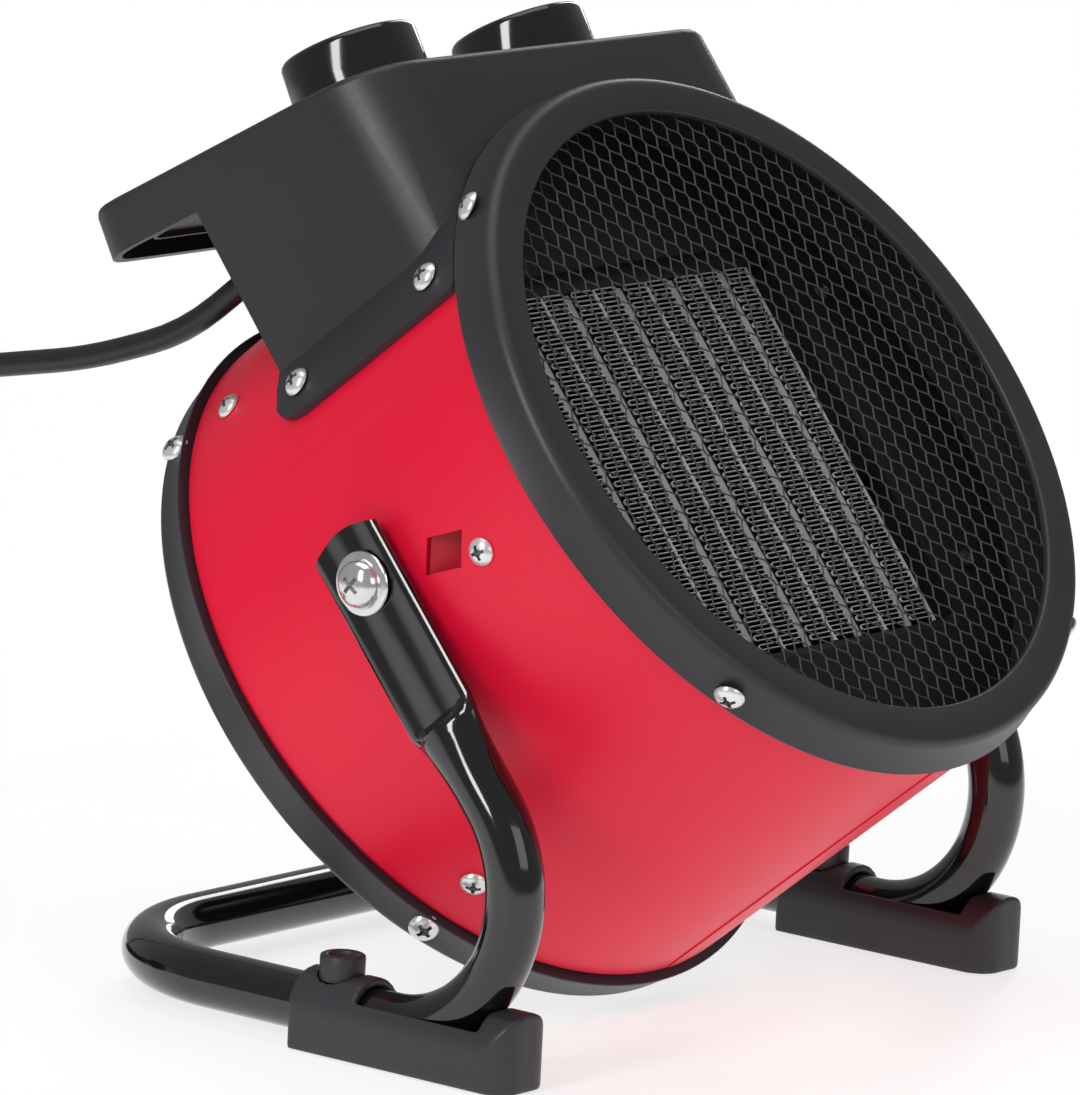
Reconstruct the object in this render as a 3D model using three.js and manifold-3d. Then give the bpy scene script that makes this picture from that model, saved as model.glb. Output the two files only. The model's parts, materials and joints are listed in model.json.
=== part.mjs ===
// Forced air heater: a tilting drum with a ceramic heating element and an axial fan, carried between
// the flattened ends of a bent-tube stand on two moulded feet.
// Millimetres, +Z up. X runs across the heater and the outlet grille faces -Y.

import * as THREE from 'three';
import { mergeVertices } from 'three/addons/utils/BufferGeometryUtils.js';
import Module from 'manifold-3d';

const wasm = await Module();
wasm.setup();

const degree = Math.PI / 180;

// ---------------------------------------------------------------- driving dimensions

const TOUCH_GAP = 0.3;            // left between pieces that rest on each other
const TILT = 39 * degree;         // the drum axis rises towards the outlet

// drum and its two end rings, measured along the drum axis from the pivot, positive to the front
const DRUM_RADIUS = 104.8;
const SHEET = 1;
const FRONT_FACE = 71;
const REAR_FACE = -73;
const RING_DEPTH = 12.7;
const RING_EDGE_RADIUS = DRUM_RADIUS + 2.6;
const RING_RIM_RADIUS = DRUM_RADIUS + 0.4;
const RING_ROUNDING = 3.4;
const RING_OPENING = DRUM_RADIUS - 11.4;
const RING_WALL = 2.1;
const JOGGLE = 1.4;               // the casing's ends are drawn in by this much to carry the rings
const RING_BREAK = 0.6;
const ROUND = 56;                 // facets round the drum
const WINDOW_PLACE = 23.3;
const WINDOW_RISE = -5;
const WINDOW_WIDTH = 12;
const WINDOW_HEIGHT = 10.5;
const WINDOW_SLOPE = 19 * degree;
const WIRE_HOLE_RADIUS = 7;
const WIRE_HOLE_PLACE = 8;

// guards: expanded metal in a turned rim
const MESH_THICKNESS = 0.8;
const MESH_RIM = 1.6;
const FRONT_CELL = [34, 20];      // long and short way of a diamond opening
const REAR_CELL = [44, 26];
const STRAND = 2.4;

// stand
const PIVOT_HEIGHT = DRUM_RADIUS + 23.2;
const TUBE_RADIUS = 8;
const LEG_SPACING = DRUM_RADIUS + 3.7;        // from the middle plane to each leg
const FOOT_FLOOR = 2.5;
const LEG_LEAN = 49.5 * degree;   // rise of the straight upper leg above the floor plane
const BEND_RADIUS = 39.4;
const FLOOR_BEND_RADIUS = 48;
const CROSSBAR_SETBACK = 97;      // crossbar axis behind the pivot
const FLAT_LENGTH = 42;           // flattened end, from the pivot down to the crease
const FLAT_THICKNESS = 3.2;
const FLAT_WIDTH = 24.4;
const FLAT_NECK = 22;             // length over which the round tube goes flat
const FLAT_END = 12.3;
const FLAT_END_BULGE = 3.4;
const FLAT_OFFSET = 1.2;          // the flattened end lies this far outside the tube's middle

// feet
const FOOT_WIDTH = 21.6;
const FOOT_REAR = 13.5;
const FOOT_FRONT = -61;
const FOOT_SIDE_HEIGHT = 16;
const FOOT_CORNER = 7.5;
const TROUGH_REAR = -8.5;
const TROUGH_FRONT = -50.5;
const PEG_RADIUS = 6.2;
const PEG_SETBACK = 3.5;
const PEG_RISE = 4.6;
const PEG_EDGE = 0.6;
const PEG_DISH_RADIUS = 4.2;
const PEG_DISH = 1.3;
const FOOT_REAR_CORNER = 1.5;

// pivot
const BOLT_RADIUS = 3;
const BOLT_HOLE_PLAY = 0.4;
const BOLT_FLANGE_RADIUS = 8.4;
const BOLT_FLANGE = 1.4;
const BOLT_DOME_RADIUS = 6.6;
const BOLT_DOME = 4.6;
const WASHER_RADIUS = 9;
const NUT_ACROSS_CORNERS = 11.5;
const NUT_THICKNESS = 5;

// control box
const BOX_HALF_WIDTH = 79;
const BOX_FRONT = 57.6;
const BOX_REAR = -17.3;
const HOOD_REAR = -55.5;
const BOX_TOP = DRUM_RADIUS + 27.8;            // from the pivot, square to the panel
const PANEL_TILT = 28.6 * degree; // the panel leans back less than the drum does
const BOX_WALL = 2.6;
const BOX_FRONT_CORNER = 20;
const BOX_REAR_CORNER = 14;
const BOX_EDGE = 2.2;
const HOOD_DEPTH = 14.6;
const FLANGE_THICKNESS = 2;
const FLANGE_ROOT = Math.asin(BOX_HALF_WIDTH / (DRUM_RADIUS + TOUCH_GAP)); // from the top of the drum
const FLANGE_INNER_ANGLE = FLANGE_ROOT - 4.7 * degree;
const FLANGE_OUTER_ANGLE = FLANGE_ROOT + 10.1 * degree;
const FLANGE_CORNER = 11;
const FLANGE_FRONT_CORNER = 4;
const FLANGE_STEP = 0.4;          // the flanges reach this far behind the rear wall
const FLANGE_SCREW_ANGLE = FLANGE_ROOT + 4.4 * degree;
const FLANGE_SCREW_FRONT = 46.5;
const FLANGE_SCREW_REAR = -8.3;

// knobs and what they turn
const KNOB_SPACING = 37;
const KNOB_SETBACK = -4;          // along the panel, from the pivot
const KNOB_RADIUS = 19.6;
const KNOB_HEIGHT = 17.6;         // above the panel
const KNOB_PLAY = 0.6;
const KNOB_EDGE = 1.2;
const KNOB_BOSS_RADIUS = 6;
const KNOB_SKIN = 2.4;
const CONTROL_SHAFT_RADIUS = 3;
const CONTROL_SHAFT_PLAY = 0.4;
const CONTROL_SHAFT_DEPTH = 10;   // below the panel's inner face
const BUSH_RADIUS = 4.6;
const BUSH_RISE = 2.5;
const SWITCH_SIDE = 27;
const SWITCH_DEPTH = 18;
const THERMOSTAT_RADIUS = 14;
const THERMOSTAT_DEPTH = 15;

// heating element
const SHIELD_FACE = 44.6;
const ELEMENT_FRONT = 39;
const ELEMENT_DEPTH = 16;
const ELEMENT_HEIGHT = 114;
const CERAMIC_PITCH = 23;
const CERAMIC_COUNT = 5;
const CERAMIC_THICKNESS = 4;
const FIN_PLATE = 0.8;
const FIN_SHEET = 0.6;
const FIN_PITCH = 14.25;
const HOLDER_THICKNESS = 6;
const SHIELD_THICKNESS = 0.8;
const SHIELD_SKIRT = 14;
const SHIELD_SLOT = 4.3;            // open slot above and below the element
const SHIELD_SIDE_PLAY = 3.5;
const SHIELD_SCREW = [76, 43.5];
const HOLDER_EAR = 8;
const CUTOUT_RADIUS = 8;
const CUTOUT_DEPTH = 7;
const CUTOUT_OFFSET = 76;

// fan and motor
const BRACKET_PLACE = -36;
const BRACKET_THICKNESS = 1.5;
const BRACKET_ARM_WIDTH = 14;
const BRACKET_HUB_RADIUS = 30;
const BRACKET_TAB = 12;
const MOTOR_RADIUS = 27;
const MOTOR_LENGTH = 34;
const MOTOR_BOSS_RADIUS = 8;
const MOTOR_BOSS = 3.2;
const SHAFT_RADIUS = 3;
const SHAFT_PLAY = 0.4;
const SHAFT_DEPTH = 24;
const FAN_RADIUS = DRUM_RADIUS - 16.8;
const FAN_HUB_RADIUS = 19;
const FAN_HUB_LENGTH = 14;
const FAN_BLADES = 5;
const BLADE_THICKNESS = 1.8;
const BLADE_ROOT_CHORD = 24;
const BLADE_TIP_CHORD = 40;
const BLADE_ROOT_PITCH = 38 * degree;
const BLADE_TIP_PITCH = 20 * degree;
const BLADE_CAMBER = 2.4;
const FAN_GAP = 3;                // from the bracket to the hub

// screws
const SCREW_HEAD_RADIUS = 3.7;
const SCREW_HEAD = 2.4;
const SCREW_RADIUS = 1.5;
const SCREW_HOLE = 1.9;
const SCREW_LENGTH = 5;
const RING_SCREW_INSET = 4.2;     // from the ring's open edge
const RING_SCREW_COUNT = 4;

// cord and plug
const CORD_RADIUS = 3.5;
const CORD_LENGTH = 1650;
const CORD_SIDE = 45;             // the gland sits this far to the left of the middle
const CORD_RISE = DRUM_RADIUS + 6;           // and this far above the drum axis
const GLAND_LENGTH = 20;
const GLAND_ROOT_RADIUS = 7;
const GLAND_TIP_RADIUS = 4.6;
const GLAND_FLANGE_RADIUS = 8.5;
const GLAND_FLANGE = 2;
const GLAND_NECK_RADIUS = 5.6;
const CORD_FIRST_RUN = 27;        // straight runs and bends of the free cord, from the gland to the floor
const CORD_FIRST_RADIUS = 80;
const CORD_SECOND_RUN = 37;
const CORD_SECOND_SLOPE = 19 * degree;
const CORD_SECOND_RADIUS = 200;
const CORD_THIRD_SLOPE = 11.3 * degree;
const CORD_FALL_RADIUS = 45;
const CORD_FLOOR_RADIUS = 34;
const CORD_LEAD_RADIUS = 60;
const COIL_PITCH = 7.8;
const COIL_LOOPS_PER_LAYER = 3;
const COIL_TURNS = 5.25;
const COIL_SETBACK = 228;         // coil's middle behind the pivot
const PLUG_RADIUS = 18.5;
const PLUG_LENGTH = 36;
const PLUG_TAIL_LENGTH = 24;
const PLUG_SHOULDER = 36;         // from the tail's tip to the body's full width
const PLUG_TAIL_RADIUS = 6;
const PIN_RADIUS = 2.4;
const PIN_LENGTH = 19;
const PIN_SPACING = 19;

// ---------------------------------------------------------------- helpers

const Solid = wasm.Manifold;
const sin = Math.sin;
const cos = Math.cos;

// a closed three.js surface as a solid, whichever way round it was drawn
function toSolid(geometry) {
  const bare = new THREE.BufferGeometry();
  bare.setAttribute('position', geometry.getAttribute('position').clone());
  if (geometry.index) bare.setIndex(geometry.index.clone());
  const merged = mergeVertices(bare, 1e-4);
  const points = merged.getAttribute('position').array;
  const corners = merged.index.array;
  const triangles = [];
  let volume = 0;
  for (let i = 0; i < corners.length; i += 3) {
    const [a, b, c] = [corners[i], corners[i + 1], corners[i + 2]];
    if (a === b || b === c || c === a) continue;
    triangles.push(a, b, c);
    const [p, q, s] = [a, b, c].map((k) => new THREE.Vector3().fromArray(points, 3 * k));
    volume += p.dot(q.cross(s));
  }
  if (volume < 0) triangles.reverse();
  return new Solid(new wasm.Mesh({
    numProp: 3,
    vertProperties: new Float32Array(points),
    triVerts: new Uint32Array(triangles),
  }));
}

function toGeometry(solid) {
  const mesh = solid.getMesh();
  const indexed = new THREE.BufferGeometry();
  indexed.setAttribute('position', new THREE.BufferAttribute(new Float32Array(mesh.vertProperties), 3));
  indexed.setIndex(new THREE.BufferAttribute(new Uint32Array(mesh.triVerts), 1));
  const geometry = indexed.toNonIndexed();
  geometry.computeVertexNormals();
  return geometry;
}

const joined = (...solids) => Solid.union(solids.flat());
const without = (solid, ...tools) => solid.subtract(joined(...tools));

// profile of [radius, height] pairs turned about the local Y axis
function turned(profile, segments = 24) {
  return toSolid(new THREE.LatheGeometry(profile.map(([r, y]) => new THREE.Vector2(r, y)), segments));
}

// profile of [radius, place along the drum axis] pairs, closed on itself
const ringOf = (profile) => turned([...profile, profile[0]].map(([r, a]) => [r, -a]), ROUND);

// the same, closed on the axis
const discOf = (profile) => turned(profile.map(([r, a]) => [r, -a]), ROUND);

function outline(points) {
  return new THREE.Shape(points.map(([x, y]) => new THREE.Vector2(x, y)));
}

// outline in X and Y drawn up along Z from z0 to z1
function prism(points, z0, z1) {
  const geometry = new THREE.ExtrudeGeometry(outline(points), { depth: z1 - z0, bevelEnabled: false, steps: 1 });
  return toSolid(geometry).translate([0, 0, z0]);
}

// outline given in (place along the drum axis, height) drawn along X, in the drum's own frame
function sidePrism(points, x0, x1) {
  const frame = new THREE.Matrix4().makeBasis(
    new THREE.Vector3(0, -1, 0),
    new THREE.Vector3(0, 0, 1),
    new THREE.Vector3(-1, 0, 0),
  );
  return prism(points, -x1, -x0).transform(frame.elements);
}

// outline given in (X, height) drawn along the drum axis from a0 to a1, in the drum's own frame
function facePrism(points, a0, a1) {
  return prism(points, a0, a1).rotate([90, 0, 0]);
}

const rectangle = (x0, x1, y0, y1) => [[x0, y0], [x1, y0], [x1, y1], [x0, y1]];
const block = (x0, x1, y0, y1, z0, z1) => prism(rectangle(x0, x1, y0, y1), z0, z1);

// rectangle with a radius of its own at each corner: lower left, lower right, upper right, upper left
function roundedRectangle(x0, x1, y0, y1, radii, steps = 5) {
  const corners = [[x0, y0, 1, 1, 180], [x1, y0, -1, 1, 270], [x1, y1, -1, -1, 0], [x0, y1, 1, -1, 90]];
  return corners.flatMap(([x, y, inX, inY, start], k) => {
    const r = radii[k];
    const count = r > 0 ? steps : 0;
    return Array.from({ length: count + 1 }, (_, i) => {
      const angle = (start + (count ? 90 * i / count : 45)) * degree;
      return [x + inX * r + r * cos(angle), y + inY * r + r * sin(angle)];
    });
  });
}

// rings of equal numbers of points joined one after another and capped at both ends
function loft(rings) {
  const count = rings[0].length;
  const points = rings.flat();
  const triangles = [];
  for (let k = 0; k + 1 < rings.length; k += 1) {
    for (let i = 0; i < count; i += 1) {
      const j = (i + 1) % count;
      const [a, b] = [k * count + i, k * count + j];
      triangles.push(a, b, b + count, a, b + count, a + count);
    }
  }
  [rings[0], rings[rings.length - 1]].forEach((ring, side) => {
    const middle = points.length;
    const centre = ring.reduce((sum, p) => sum.add(p), new THREE.Vector3()).divideScalar(count);
    points.push(centre);
    const first = side ? (rings.length - 1) * count : 0;
    for (let i = 0; i < count; i += 1) {
      const [a, b] = [first + i, first + (i + 1) % count];
      triangles.push(...(side ? [a, b, middle] : [b, a, middle]));
    }
  });
  const geometry = new THREE.BufferGeometry();
  geometry.setAttribute('position', new THREE.Float32BufferAttribute(points.flatMap((p) => p.toArray()), 3));
  geometry.setIndex(triangles);
  return toSolid(geometry);
}

// turns a solid built along local Y so that it points along a direction, and moves it to a place
function aimed(solid, direction, place) {
  const turn = new THREE.Quaternion().setFromUnitVectors(new THREE.Vector3(0, 1, 0), direction.clone().normalize());
  const matrix = new THREE.Matrix4().makeRotationFromQuaternion(turn).setPosition(place);
  return solid.transform(matrix.elements);
}

// a place and a direction on the drum: radius, place along the axis, angle from +X towards the top
function onDrum(radius, a, angle, lean = 0) {
  return {
    place: new THREE.Vector3(radius * cos(angle), -a, radius * sin(angle)),
    direction: new THREE.Vector3(cos(lean) * cos(angle), -sin(lean), cos(lean) * sin(angle)),
  };
}

const flipped = (solid) => solid.mirror([1, 0, 0]);
const smooth = (t) => t * t * (3 - 2 * t);
const mix = (a, b, t) => a + (b - a) * t;

const looks = {
  red: [0xb3231c, 0.45, 0.1],
  mould: [0x2b2b2e, 0.6, 0],
  gloss: [0x0b0b0c, 0.18, 0],
  tube: [0x101012, 0.22, 0.1],
  zinc: [0xb9bcc0, 0.3, 0.9],
  steel: [0x8d9094, 0.45, 0.8],
  guard: [0x17181a, 0.5, 0.3],
  ceramic: [0x6f675c, 0.8, 0],
  fin: [0x4a4c50, 0.45, 0.7],
  shield: [0x3a3b3e, 0.5, 0.7],
  fan: [0x9ea2a6, 0.35, 0.8],
  rubber: [0x141415, 0.7, 0],
  plastic: [0x1c1c1e, 0.5, 0],
  resin: [0xd8d4c8, 0.6, 0],
  brass: [0xb99246, 0.3, 0.9],
};

function piece(group, name, shape, look) {
  const [color, roughness, metalness] = looks[look];
  const material = new THREE.MeshStandardMaterial({ color, roughness, metalness });
  material.name = look;
  const mesh = new THREE.Mesh(toGeometry(shape), material);
  mesh.name = name;
  group.add(mesh);
  return mesh;
}

const model = new THREE.Group();
model.name = 'forced_air_heater';
const stand = new THREE.Group();
const drum = new THREE.Group();
drum.position.set(0, 0, PIVOT_HEIGHT);
drum.rotation.x = -TILT;
model.add(stand, drum);

// ---------------------------------------------------------------- drum casing and end rings

const CASING_INNER = DRUM_RADIUS - SHEET;
const SEAT_RADIUS = DRUM_RADIUS - JOGGLE;
const RING_BORE = SEAT_RADIUS + TOUCH_GAP;
const SEAT_FRONT = FRONT_FACE - RING_WALL - TOUCH_GAP - MESH_THICKNESS - MESH_RIM - TOUCH_GAP;
const SEAT_REAR = REAR_FACE + FRONT_FACE - SEAT_FRONT;
const STEP_FRONT = FRONT_FACE - RING_DEPTH - TOUCH_GAP / 2;
const STEP_REAR = REAR_FACE + RING_DEPTH + TOUCH_GAP / 2;

const casingProfile = [
  [SEAT_RADIUS, SEAT_FRONT],
  [SEAT_RADIUS, STEP_FRONT],
  [DRUM_RADIUS, STEP_FRONT - JOGGLE],
  [DRUM_RADIUS, STEP_REAR + JOGGLE],
  [SEAT_RADIUS, STEP_REAR],
  [SEAT_RADIUS, SEAT_REAR],
  [SEAT_RADIUS - SHEET, SEAT_REAR],
  [SEAT_RADIUS - SHEET, STEP_REAR + SHEET / 2],
  [CASING_INNER, STEP_REAR + JOGGLE + SHEET / 2],
  [CASING_INNER, STEP_FRONT - JOGGLE - SHEET / 2],
  [SEAT_RADIUS - SHEET, STEP_FRONT - SHEET / 2],
  [SEAT_RADIUS - SHEET, SEAT_FRONT],
];

// the ring as seen from its own face: depth 0 is the face, the skirt widens away from it
function ringProfile(along) {
  const rim = [30, 60, 90].map((d) => [
    RING_RIM_RADIUS - RING_ROUNDING * (1 - sin(d * degree)),
    RING_ROUNDING * (1 - cos(d * degree)),
  ]);
  const profile = [
    [RING_OPENING, RING_WALL],
    [RING_OPENING, RING_BREAK],
    [RING_OPENING + RING_BREAK, 0],
    [RING_RIM_RADIUS - RING_ROUNDING, 0],
    ...rim,
    [RING_EDGE_RADIUS, RING_DEPTH],
    [RING_BORE, RING_DEPTH],
    [RING_BORE, RING_WALL],
  ];
  return profile.map(([r, depth]) => [r, along(depth)]);
}
const fromFront = (depth) => FRONT_FACE - depth;
const fromRear = (depth) => REAR_FACE + depth;

const RING_SLOPE = Math.atan2(RING_EDGE_RADIUS - RING_RIM_RADIUS, RING_DEPTH - RING_ROUNDING);
const ringScrewRadius = RING_EDGE_RADIUS - RING_SCREW_INSET * Math.tan(RING_SLOPE);
const screwAngles = Array.from({ length: RING_SCREW_COUNT }, (_, k) => (45 + 360 * k / RING_SCREW_COUNT) * degree);
const ringScrews = [
  ['front', FRONT_FACE - RING_DEPTH + RING_SCREW_INSET, RING_SLOPE],
  ['rear', REAR_FACE + RING_DEPTH - RING_SCREW_INSET, -RING_SLOPE],
].flatMap(([end, a, lean]) => screwAngles.map((angle, k) => ({
  name: `ring_screw_${end}_${k + 1}`,
  ...onDrum(ringScrewRadius, a, angle, lean),
})));
const flangeScrews = [FLANGE_SCREW_FRONT, FLANGE_SCREW_REAR].flatMap((a, k) => [-1, 1].map((side) => ({
  name: `box_screw_${side < 0 ? 'left' : 'right'}_${k + 1}`,
  ...onDrum(DRUM_RADIUS + TOUCH_GAP + FLANGE_THICKNESS, a, (90 - side * FLANGE_SCREW_ANGLE / degree) * degree),
})));

// the head rests a touch gap above the surface, the shank runs through its hole
const HEAD_SAG = DRUM_RADIUS - Math.sqrt(DRUM_RADIUS ** 2 - SCREW_HEAD_RADIUS ** 2);
function screw({ place, direction }) {
  const seat = TOUCH_GAP + HEAD_SAG;
  return aimed(turned([
    [0, seat + SCREW_HEAD],
    [SCREW_HEAD_RADIUS, seat + SCREW_HEAD * 0.4],
    [SCREW_HEAD_RADIUS, seat],
    [SCREW_RADIUS, seat],
    [SCREW_RADIUS, seat - SCREW_LENGTH],
    [0, seat - SCREW_LENGTH],
  ], 10), direction, place);
}
function screwHole({ place, direction }) {
  const bore = toSolid(new THREE.CylinderGeometry(SCREW_HOLE, SCREW_HOLE, 4 * SCREW_LENGTH, 8));
  return aimed(bore, direction, place);
}
const allScrewHoles = joined([...ringScrews, ...flangeScrews].map(screwHole));

const axisBore = (radius, length, segments = 20) => toSolid(new THREE.CylinderGeometry(radius, radius, length, segments));
const boltHoles = axisBore(BOLT_RADIUS + BOLT_HOLE_PLAY, 4 * LEG_SPACING).rotate([0, 0, 90]);

// the pressed window's sides stand upright at rest and its top slopes
const windowCorners = [[1, -1], [1, 1], [-1, 1], [-1, -1]].map(([forward, up]) => {
  const y = forward * WINDOW_WIDTH / 2;
  const z = up * WINDOW_HEIGHT / 2 + y * Math.tan(WINDOW_SLOPE);
  return [WINDOW_PLACE + y * cos(TILT) + z * sin(TILT), WINDOW_RISE - y * sin(TILT) + z * cos(TILT)];
});
const windowHole = sidePrism(windowCorners, -DRUM_RADIUS - 5, -DRUM_RADIUS / 2);
const wireHole = axisBore(WIRE_HOLE_RADIUS, DRUM_RADIUS).rotate([90, 0, 0]).translate([0, -WIRE_HOLE_PLACE, DRUM_RADIUS]);

piece(drum, 'drum_shell', without(ringOf(casingProfile), allScrewHoles, boltHoles, windowHole, wireHole), 'red');
piece(drum, 'front_ring', without(ringOf(ringProfile(fromFront)), allScrewHoles), 'mould');
piece(drum, 'rear_ring', without(ringOf(ringProfile(fromRear)), allScrewHoles), 'mould');
for (const one of ringScrews) piece(drum, one.name, screw(one), 'zinc');

// guards: diamond openings in staggered rows, framed by a turned rim
function guard(along, long, short) {
  const radius = RING_BORE - TOUCH_GAP;
  const depth = RING_WALL + TOUCH_GAP;
  const plate = discOf([
    [0, along(depth)],
    [radius, along(depth)],
    [radius, along(depth + MESH_THICKNESS + MESH_RIM)],
    [radius - MESH_RIM, along(depth + MESH_THICKNESS + MESH_RIM)],
    [radius - MESH_RIM, along(depth + MESH_THICKNESS)],
    [0, along(depth + MESH_THICKNESS)],
  ]);
  const [halfLong, halfShort] = [long / 2, short / 2];
  const reach = halfLong * halfShort / Math.hypot(halfLong, halfShort);
  const k = (reach - STRAND / 2) / reach;
  const open = radius - 2 * MESH_RIM;
  const holes = [];
  const rows = Math.ceil(2 * radius / short);
  for (let row = -rows; row <= rows; row += 1) {
    for (let column = -rows; column <= rows; column += 1) {
      const x = (column + (row % 2 ? 0.5 : 0)) * long;
      const z = row * halfShort;
      const diamond = [[x - k * halfLong, z], [x, z - k * halfShort], [x + k * halfLong, z], [x, z + k * halfShort]];
      if (diamond.some(([cx, cz]) => Math.hypot(cx, cz) > open)) continue;
      const [a0, a1] = [along(depth - 1), along(depth + MESH_THICKNESS + 1)].sort((p, q) => p - q);
      holes.push(facePrism(diamond, a0, a1));
    }
  }
  return without(plate, holes);
}
piece(drum, 'front_grille', guard(fromFront, FRONT_CELL[0], FRONT_CELL[1]), 'guard');
piece(drum, 'rear_grille', guard(fromRear, REAR_CELL[0], REAR_CELL[1]), 'guard');

// ---------------------------------------------------------------- heating element

const ELEMENT_REAR = ELEMENT_FRONT - ELEMENT_DEPTH;
const ELEMENT_HALF = CERAMIC_PITCH * CERAMIC_COUNT / 2;
const SHIELD_RADIUS = CASING_INNER - TOUCH_GAP;
const SHIELD_BACK = SHIELD_FACE - SHIELD_THICKNESS;
const openingHalf = ELEMENT_HALF + SHIELD_SIDE_PLAY;
const openingTop = ELEMENT_HEIGHT / 2 + SHIELD_SLOT;

const shieldPan = discOf([
  [0, SHIELD_FACE],
  [SHIELD_RADIUS, SHIELD_FACE],
  [SHIELD_RADIUS, SHIELD_FACE - SHIELD_SKIRT],
  [SHIELD_RADIUS - SHIELD_THICKNESS, SHIELD_FACE - SHIELD_SKIRT],
  [SHIELD_RADIUS - SHIELD_THICKNESS, SHIELD_BACK],
  [0, SHIELD_BACK],
]);
const shieldOpening = facePrism(rectangle(-openingHalf, openingHalf, -openingTop, openingTop), 0, FRONT_FACE);
const shieldHoles = [-1, 1].flatMap((sx) => [-1, 1].map((sz) => axisBore(SCREW_HOLE, 4 * SHIELD_SKIRT, 12)
  .translate([sx * SHIELD_SCREW[0], -SHIELD_FACE, sz * SHIELD_SCREW[1]])));
piece(drum, 'heat_shield', without(shieldPan, shieldOpening, shieldHoles), 'shield');

const ceramicPlaces = Array.from({ length: CERAMIC_COUNT }, (_, k) => (k - (CERAMIC_COUNT - 1) / 2) * CERAMIC_PITCH);
ceramicPlaces.forEach((x, k) => {
  const half = CERAMIC_THICKNESS / 2;
  const height = ELEMENT_HEIGHT / 2;
  const strip = facePrism(rectangle(x - half, x + half, -height, height), ELEMENT_REAR, ELEMENT_FRONT);
  piece(drum, `ptc_ceramic_${k + 1}`, strip, 'ceramic');
});

// one corrugated ribbon between two faces, drawn from the inner face x0 to the outer face x1
function ribbon(x0, x1) {
  const folds = 2 * Math.round(ELEMENT_HEIGHT / FIN_PITCH);
  const step = ELEMENT_HEIGHT / folds;
  const across = FIN_SHEET * Math.hypot(x1 - x0, step) / step / 2;
  const inset = Math.sign(x1 - x0) * across;
  const line = Array.from({ length: folds + 1 }, (_, k) => [k % 2 ? x1 - inset : x0 + inset, k * step - ELEMENT_HEIGHT / 2]);
  const near = line.map(([x, z]) => [x - across, z]);
  const far = line.map(([x, z]) => [x + across, z]).reverse();
  return facePrism([...near, ...far], ELEMENT_REAR, ELEMENT_FRONT);
}
const finPlate = (x) => facePrism(
  rectangle(x - FIN_PLATE / 2, x + FIN_PLATE / 2, -ELEMENT_HEIGHT / 2, ELEMENT_HEIGHT / 2),
  ELEMENT_REAR,
  ELEMENT_FRONT,
);
const CERAMIC_FACE = CERAMIC_THICKNESS / 2 + TOUCH_GAP;
for (let k = 0; k <= CERAMIC_COUNT; k += 1) {
  const inner = Math.abs(k - CERAMIC_COUNT / 2) < CERAMIC_COUNT / 2;
  const x = (k - CERAMIC_COUNT / 2) * CERAMIC_PITCH;
  const plate = x - (inner ? 0 : Math.sign(x) * FIN_PLATE / 2);
  const sides = inner ? [-1, 1] : [-Math.sign(x)];
  const ribbons = sides.map((side) => ribbon(plate, x + side * (CERAMIC_PITCH / 2 - CERAMIC_FACE)));
  piece(drum, `ptc_fins_${k + 1}`, joined(finPlate(plate), ribbons), 'fin');
}

// holders clamp the strips at top and bottom and sit behind the shield on two ears each
function holder() {
  const foot = ELEMENT_HEIGHT / 2 + TOUCH_GAP;
  const half = openingHalf + HOLDER_EAR;
  const bar = facePrism(rectangle(-half, half, foot, foot + HOLDER_THICKNESS), ELEMENT_REAR, ELEMENT_FRONT);
  const ears = [-1, 1].map((side) => {
    const [x0, x1] = [side * (openingHalf + TOUCH_GAP), side * half].sort((p, q) => p - q);
    const earTop = SHIELD_BACK - TOUCH_GAP;
    return facePrism(rectangle(x0, x1, foot, foot + HOLDER_THICKNESS), ELEMENT_FRONT - 1, earTop);
  });
  return joined(bar, ears);
}
piece(drum, 'ptc_holder_top', holder(), 'resin');
piece(drum, 'ptc_holder_bottom', holder().mirror([0, 0, 1]), 'resin');
piece(drum, 'thermal_cutout', axisBore(CUTOUT_RADIUS, CUTOUT_DEPTH)
  .translate([-CUTOUT_OFFSET, -(SHIELD_BACK - TOUCH_GAP - CUTOUT_DEPTH / 2), 0]), 'plastic');

// ---------------------------------------------------------------- fan, motor and bracket

const MOTOR_REAR = BRACKET_PLACE + TOUCH_GAP;
const MOTOR_FRONT = MOTOR_REAR + MOTOR_LENGTH;
const SHAFT_END = MOTOR_REAR + SHAFT_DEPTH;
const HUB_FRONT = BRACKET_PLACE - BRACKET_THICKNESS - FAN_GAP;
const HUB_REAR = HUB_FRONT - FAN_HUB_LENGTH;
const HUB_BORE = SHAFT_RADIUS + TOUCH_GAP;
const shaftBore = SHAFT_RADIUS + SHAFT_PLAY;
const axial = (profile, segments) => turned(profile.map(([r, a]) => [r, -a]), segments);

piece(drum, 'motor', axial([
  [0, MOTOR_FRONT],
  [MOTOR_RADIUS * 0.92, MOTOR_FRONT],
  [MOTOR_RADIUS, MOTOR_FRONT - MOTOR_RADIUS * 0.08],
  [MOTOR_RADIUS, MOTOR_REAR],
  [MOTOR_BOSS_RADIUS, MOTOR_REAR],
  [MOTOR_BOSS_RADIUS, MOTOR_REAR - MOTOR_BOSS],
  [shaftBore, MOTOR_REAR - MOTOR_BOSS],
  [shaftBore, SHAFT_END],
  [0, SHAFT_END],
], 28), 'steel');

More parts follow.
